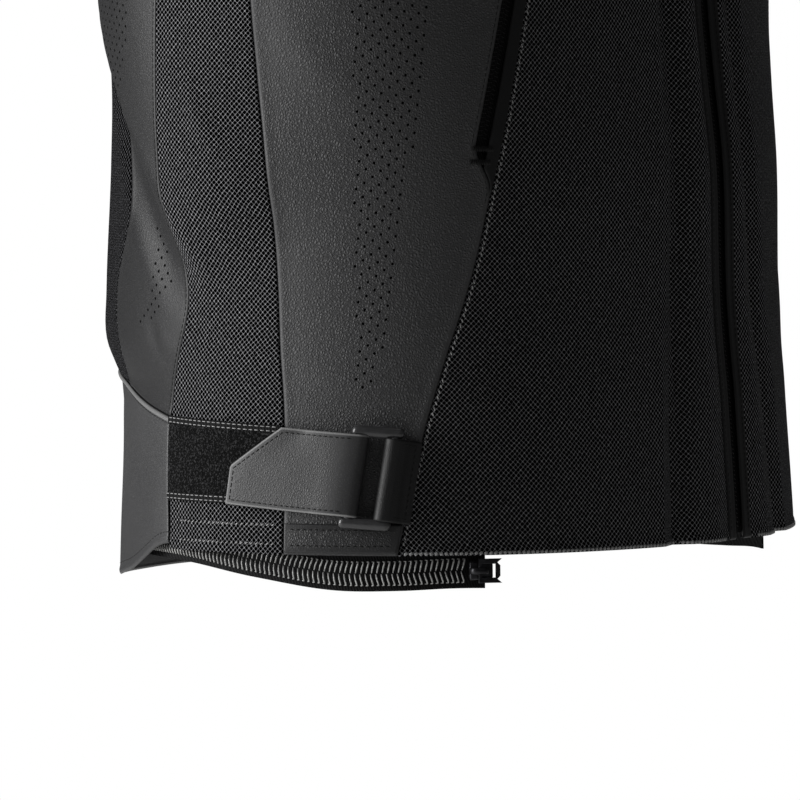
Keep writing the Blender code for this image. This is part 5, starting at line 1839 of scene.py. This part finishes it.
def round_and_up(points):
    """Rough angle and way up of places near the hem of the body."""
    angle = np.degrees(np.arctan2(-points[..., 0], -points[..., 1]))
    return angle, points[..., 2]


class JACKET_OT_hem(bpy.types.Operator):
    """Sew the leather facings and the stitching of the hem and the long seams"""

    bl_idname = "jacket.hem"
    bl_label = "Hem and seams"

    def execute(self, context):
        sewing, loops, notches, edge = [], [], [], []
        front = seam("front")
        for side in SIDES:
            made = panel(
                lambda up: seam("side_front")(up) - 0.3, lambda up: front(up) + 0.3, level(1.0),
                level(HEM_FACING_TOP), side, out=1.5, cell=2.2, steps=NARROW_STEPS,
                rolls=(CUT_ROLL,) * 4, creased=False,
            )
            add_cloth(
                "leather_facing", made, FACING_WALL, "back_plain", "hem_facing", side
            )
            angles = np.linspace(85.0, 71.2, 40)
            for up in (11.4, 4.2):
                sewing.append(body_row(angles, up, 1.52, side, False))
            angles = np.linspace(103.6, 87.0, 50)
            for up in (13.2, 4.6):
                loops.append(body_row(angles, up, 0.2, side))
            ups = np.linspace(4.0, POCKET_HIGH + 8, 300)
            loops.append(body_row(front(ups) - degrees_for(1.5, front(ups), ups), ups, 0.1, side))
            ups = np.linspace(63.0, 340.0, 190)
            angles = seam("side_back")(ups)
            notches.append(body_row(angles + degrees_for(1.7, angles, ups), ups, 0.12, side))
            angles = np.linspace(69.5, 6.6, 200)
            edge.append(body_row(angles, 0.9, 0.5, side))
        add_stitches("facing_stitches", sewing)
        add_stitches("net_seam_loops", loops, "pale_thread", LOOP_SIZE, 2.6, 0.6)
        add_stitches("back_seam_stitches", notches)
        add_stitches("hem_edge_loops", edge, "pale_thread", (1.6, 1.3, 0.6), 2.3, 0.5)
        return {"FINISHED"}


class JACKET_OT_connection_zip(bpy.types.Operator):
    """Hang the closed zip inside the back hem, with its tape and both rows of its coil"""

    bl_idname = "jacket.connection_zip"
    bl_label = "Connection zip"

    def execute(self, context):
        low = -CONNECTION_IN - 1.0 + TAPE
        down = CONNECTION_CHAIN / 2 + CONNECTION_TAPE_DOWN

        def middle(angle):
            turn = np.where(np.asarray(angle) > 180, 360 - np.asarray(angle, float), angle)
            return smooth_row(CONNECTION_ZIP, turn)[..., 0]

        made = panel(
            straight(180.0), straight(CONNECTION_TAPE_START), lambda a: middle(a) - down,
            lambda a: middle(a) + CONNECTION_TAPE_UP, 0, out=low, cell=4.0, steps=NARROW_STEPS,
            rolls=(None,) * 4, creased=False, origin=straight(180.0),
        )
        add_cloth("connection_tape", both_halves(made), TAPE, "tape", "connection_zip")
        angles = np.linspace(CONNECTION_START + 0.3, 360 - CONNECTION_START - 0.3, 900)
        path = body_row(angles, middle(angles), low, 1, False)
        pitch = context.scene.jacket_sizes.coil_pitch / MM
        add_coils("connection_zip", *path, CONNECTION_CHAIN / 2, pitch, "coil")
        return {"FINISHED"}


def slider_mesh(name):
    """A slider's body with the arch that its pull hangs on. It lies in XY, its front along +Y."""
    made = bmesh.new()
    bmesh.ops.create_cube(made, size=1.0)
    size = (SLIDER["width"], SLIDER["length"], SLIDER["height"])
    bmesh.ops.scale(made, vec=Vector(size) * MM, verts=made.verts)
    for vert in made.verts:
        if vert.co.y < 0:
            vert.co.x *= 0.82
    bmesh.ops.bevel(
        made, geom=list(made.edges), offset=0.9 * MM, offset_type="OFFSET", segments=3, profile=0.5,
        affect="EDGES", material=-1,
    )
    half, tall = SLIDER["arch_width"] / 2, SLIDER["arch_height"]
    foot = SLIDER["height"] / 2 - 0.3
    bow = [(-3.4, foot), (-3.1, foot + 2.0), (-1.4, foot + tall)]
    bow += [(1.6, foot + tall), (4.0, foot + 2.2), (4.6, foot)]
    bow = rounded(np.array(bow) + np.array([PIN["ahead"] - 0.6, 0.0]))
    rings = []
    along = np.gradient(bow, axis=0)
    along /= np.linalg.norm(along, axis=-1, keepdims=True)
    for (y, z), (dy, dz) in zip(bow, along):
        flat = half * 0.7
        corners = [(-half, 0.0), (-flat, -0.45), (flat, -0.45), (half, 0.0), (flat, 0.4), (-flat, 0.4)]
        rings.append([(x, y - dz * off, z + dy * off) for x, off in corners])
    join(made, loft("arch", np.array(rings) + np.array([0.0, 0.0, HEM_DEPTH])))
    return mesh_from(name, made)


def pull_mesh(name, tab_length):
    """A pull: a frame whose near bar is the hinge pin, and a tab beyond it, with softened edges."""
    soft = 0.28
    wide, bar, frame_length = PULL["width"] / 2 - soft, PULL["bar"] / 2 - soft, PULL["frame"]
    far = -frame_length - tab_length + soft
    tip = wide * 0.72
    outer = [(-wide, bar), (-wide, -frame_length), (-tip, far + 1.5), (-tip + 1.5, far)]
    outer += [(-x, y) for x, y in outer[::-1]]
    near = SLIDER["arch_width"] / 2 + 1.6 + soft
    deep = -frame_length + 1.6 + soft
    inner = [(-near, -bar), (near, -bar), (near, deep), (-near, deep)]
    curve = bpy.data.curves.new(name, "CURVE")
    curve.dimensions = "2D"
    curve.fill_mode = "BOTH"
    curve.extrude = (PULL["thickness"] / 2 - soft) * MM
    curve.bevel_depth = soft * MM
    curve.bevel_resolution = 2
    for outline in (outer, inner):
        spline = curve.splines.new("POLY")
        spline.points.add(len(outline) - 1)
        for point, (x, y) in zip(spline.points, outline):
            point.co = (x * MM, y * MM, 0.0, 1.0)
        spline.use_cyclic_u = True
    holder = bpy.data.objects.new(name, curve)
    made = bmesh.new()
    join(made, bpy.data.meshes.new_from_object(holder))
    bpy.data.objects.remove(holder)
    bmesh.ops.remove_doubles(made, verts=made.verts, dist=1e-6)
    return mesh_from(name, made, smooth=False)


def add_fastener(name, angle, up, ahead, out, tab, side=1):
    """A slider on its zip with the pull hanging from it. Ahead is the way that the slider faces."""
    point = body(angle, up)
    normal = body(angle, up, 1.0) - point
    front = body(angle + ahead[0], up + ahead[1]) - point
    front -= normal * (front * normal).sum()
    front /= np.linalg.norm(front)
    flip = mirror(side)
    point, normal, front = point * flip, normal * flip, front * flip
    turn = Matrix((np.cross(front, normal), front, normal)).transposed().to_4x4()
    lift = out + SLIDER["height"] / 2
    pin = lift + SLIDER["height"] / 2 + PIN["over_slider"]
    slider, pull = f"{name}_slider", f"{name}_pull"
    hinge = point + normal * pin + front * PIN["ahead"]
    for node, mesh, place, rides in (
        (slider, slider_mesh(f"{slider}_body"), point + normal * lift, "root"),
        (pull, pull_mesh(f"{pull}_tab", tab), hinge, pull),
    ):
        mesh.transform(Matrix.Translation(Vector(in_metres(place))) @ turn)
        add_piece(mesh.name, mesh, "metal", [node], rides)


class JACKET_OT_fasteners(bpy.types.Operator):
    """Put the sliders and their pulls on the zips"""

    bl_idname = "jacket.fasteners"
    bl_label = "Sliders and pulls"

    def execute(self, context):
        add_fastener("front_zip", 0.0, NECK - FRONT_SLIDER_DOWN, (0.0, 0.2), SLIDER_OUT, FRONT_PULL_TAB)
        middle = WELT_WIDTH + SLOT_WIDTH / 2
        high = POCKET_HIGH - POCKET_SLIDER_DOWN
        angle, higher = float(pocket_line(high, middle)), float(pocket_line(high + 2, middle))
        for side in SIDES:
            ahead = ((higher - angle) / 10, 0.2)
            add_fastener("pocket" + SUFFIX[side], angle, high, ahead, SLIDER_OUT, POCKET_PULL_TAB, side)
        angle = CONNECTION_START - CONNECTION_SLIDER_PAST
        up = float(smooth_row(CONNECTION_ZIP, angle)[0])
        add_fastener("connection", angle, up, (0.05, 0.0), -CONNECTION_IN + 2.0, 0)
        return {"FINISHED"}


class JACKET_OT_stage(bpy.types.Operator):
    """Lay the floor and set the studio lights, the world and the camera"""

    bl_idname = "jacket.stage"
    bl_label = "Stage"

    def execute(self, context):
        scene = context.scene
        scene.view_settings.view_transform = "Standard"
        floor = bmesh.new()
        bmesh.ops.create_grid(floor, x_segments=4, y_segments=4, size=3.0)
        bmesh.ops.translate(floor, vec=(0, 0, FLOOR), verts=floor.verts)
        mesh = mesh_from("floor", floor, smooth=False)
        mesh.materials.append(finish_for("paper"))
        made = bpy.data.objects.new("floor", mesh)
        scene.collection.objects.link(made)
        for name, place, target, size, power in LIGHTS:
            lamp = bpy.data.lights.new(name, "AREA")
            lamp.shape = "RECTANGLE"
            lamp.size, lamp.size_y = size
            lamp.energy = power
            holder = bpy.data.objects.new(name, lamp)
            holder.location = place
            aim = Vector(target) - Vector(place)
            holder.rotation_euler = aim.to_track_quat("-Z", "Y").to_euler()
            scene.collection.objects.link(holder)
        world = bpy.data.worlds.new("studio")
        world.use_nodes = True
        tree = world.node_tree
        shown = tree.nodes["Background"]
        plug(tree, shown, {"Color": WHITE, "Strength": 1.0})
        fill = add_node(tree, "Background", {"Color": WHITE, "Strength": FILL})
        ray = add_node(tree, "LightPath", {}, "Is Camera Ray")
        mixed = add_node(tree, "MixShader", {0: ray, 1: fill, 2: shown.outputs[0]})
        plug(tree, tree.nodes["World Output"], {"Surface": mixed})
        scene.world = world
        eye = bpy.data.cameras.new("camera")
        eye.sensor_width = 36.0
        eye.lens = 18.0 / math.tan(math.radians(CAMERA["field"] / 2))
        holder = bpy.data.objects.new("camera", eye)
        turn, lift = math.radians(CAMERA["azimuth"]), math.radians(CAMERA["elevation"])
        back = Vector(
            (math.sin(turn) * math.cos(lift), -math.cos(turn) * math.cos(lift), math.sin(lift))
        )
        holder.location = Vector(CAMERA["target"]) + back * CAMERA["distance"]
        holder.rotation_euler = (-back).to_track_quat("-Z", "Y").to_euler()
        scene.collection.objects.link(holder)
        scene.camera = holder
        return {"FINISHED"}


FLOOR = -1.15
FILL = 0.05
CAMERA = {
    "azimuth": -62.0,
    "elevation": 2.5,
    "distance": 3.0,
    "field": 7.32,
    "target": (-0.01238, 0.02331, -0.498),
}
LIGHTS = (
    # name, place, target, size, power
    ("key", (-1.93, 2.19, 0.15), (0.0, 0.0, -0.4), (1.4, 1.8), 88.0),
    ("front_fill", (-2.2, -3.4, 1.4), (0.0, 0.0, -0.4), (1.6, 1.6), 1.6),
    ("far_side", (3.2, 1.1, 0.9), (0.0, 0.0, -0.3), (1.6, 1.6), 14.0),
    ("top", (0.3, -0.2, 2.6), (0.0, 0.0, -0.3), (1.4, 1.4), 6.0),
)


class JACKET_PT_pieces(bpy.types.Panel):
    """Lists the jacket's pieces in the order they are made"""

    bl_label = "Motorcycle jacket"
    bl_idname = "JACKET_PT_pieces"
    bl_space_type = "VIEW_3D"
    bl_region_type = "UI"
    bl_category = "Jacket"

    def draw(self, context):
        for group in (context.scene.jacket_sizes, context.scene.jacket_colours):
            for name in group.__annotations__:
                self.layout.prop(group, name)
        for step in STEPS:
            self.layout.operator(step.bl_idname)


STEPS = (
    JACKET_OT_net_panels,
    JACKET_OT_leather_panels,
    JACKET_OT_belt,
    JACKET_OT_yokes,
    JACKET_OT_sleeves,
    JACKET_OT_front_closure,
    JACKET_OT_pockets,
    JACKET_OT_adjusters,
    JACKET_OT_hem,
    JACKET_OT_connection_zip,
    JACKET_OT_fasteners,
    JACKET_OT_stage,
)
CLASSES = (JacketColours, JacketSizes, *STEPS, JACKET_PT_pieces)


def register():
    for made in CLASSES:
        bpy.utils.register_class(made)
    bpy.types.Scene.jacket_colours = bpy.props.PointerProperty(type=JacketColours)
    bpy.types.Scene.jacket_sizes = bpy.props.PointerProperty(type=JacketSizes)


def unregister():
    del bpy.types.Scene.jacket_sizes
    del bpy.types.Scene.jacket_colours
    for made in reversed(CLASSES):
        bpy.utils.unregister_class(made)


def main():
    register()
    for step in STEPS:
        group, name = step.bl_idname.split(".")
        getattr(getattr(bpy.ops, group), name)()


if __name__ == "__main__":
    main()
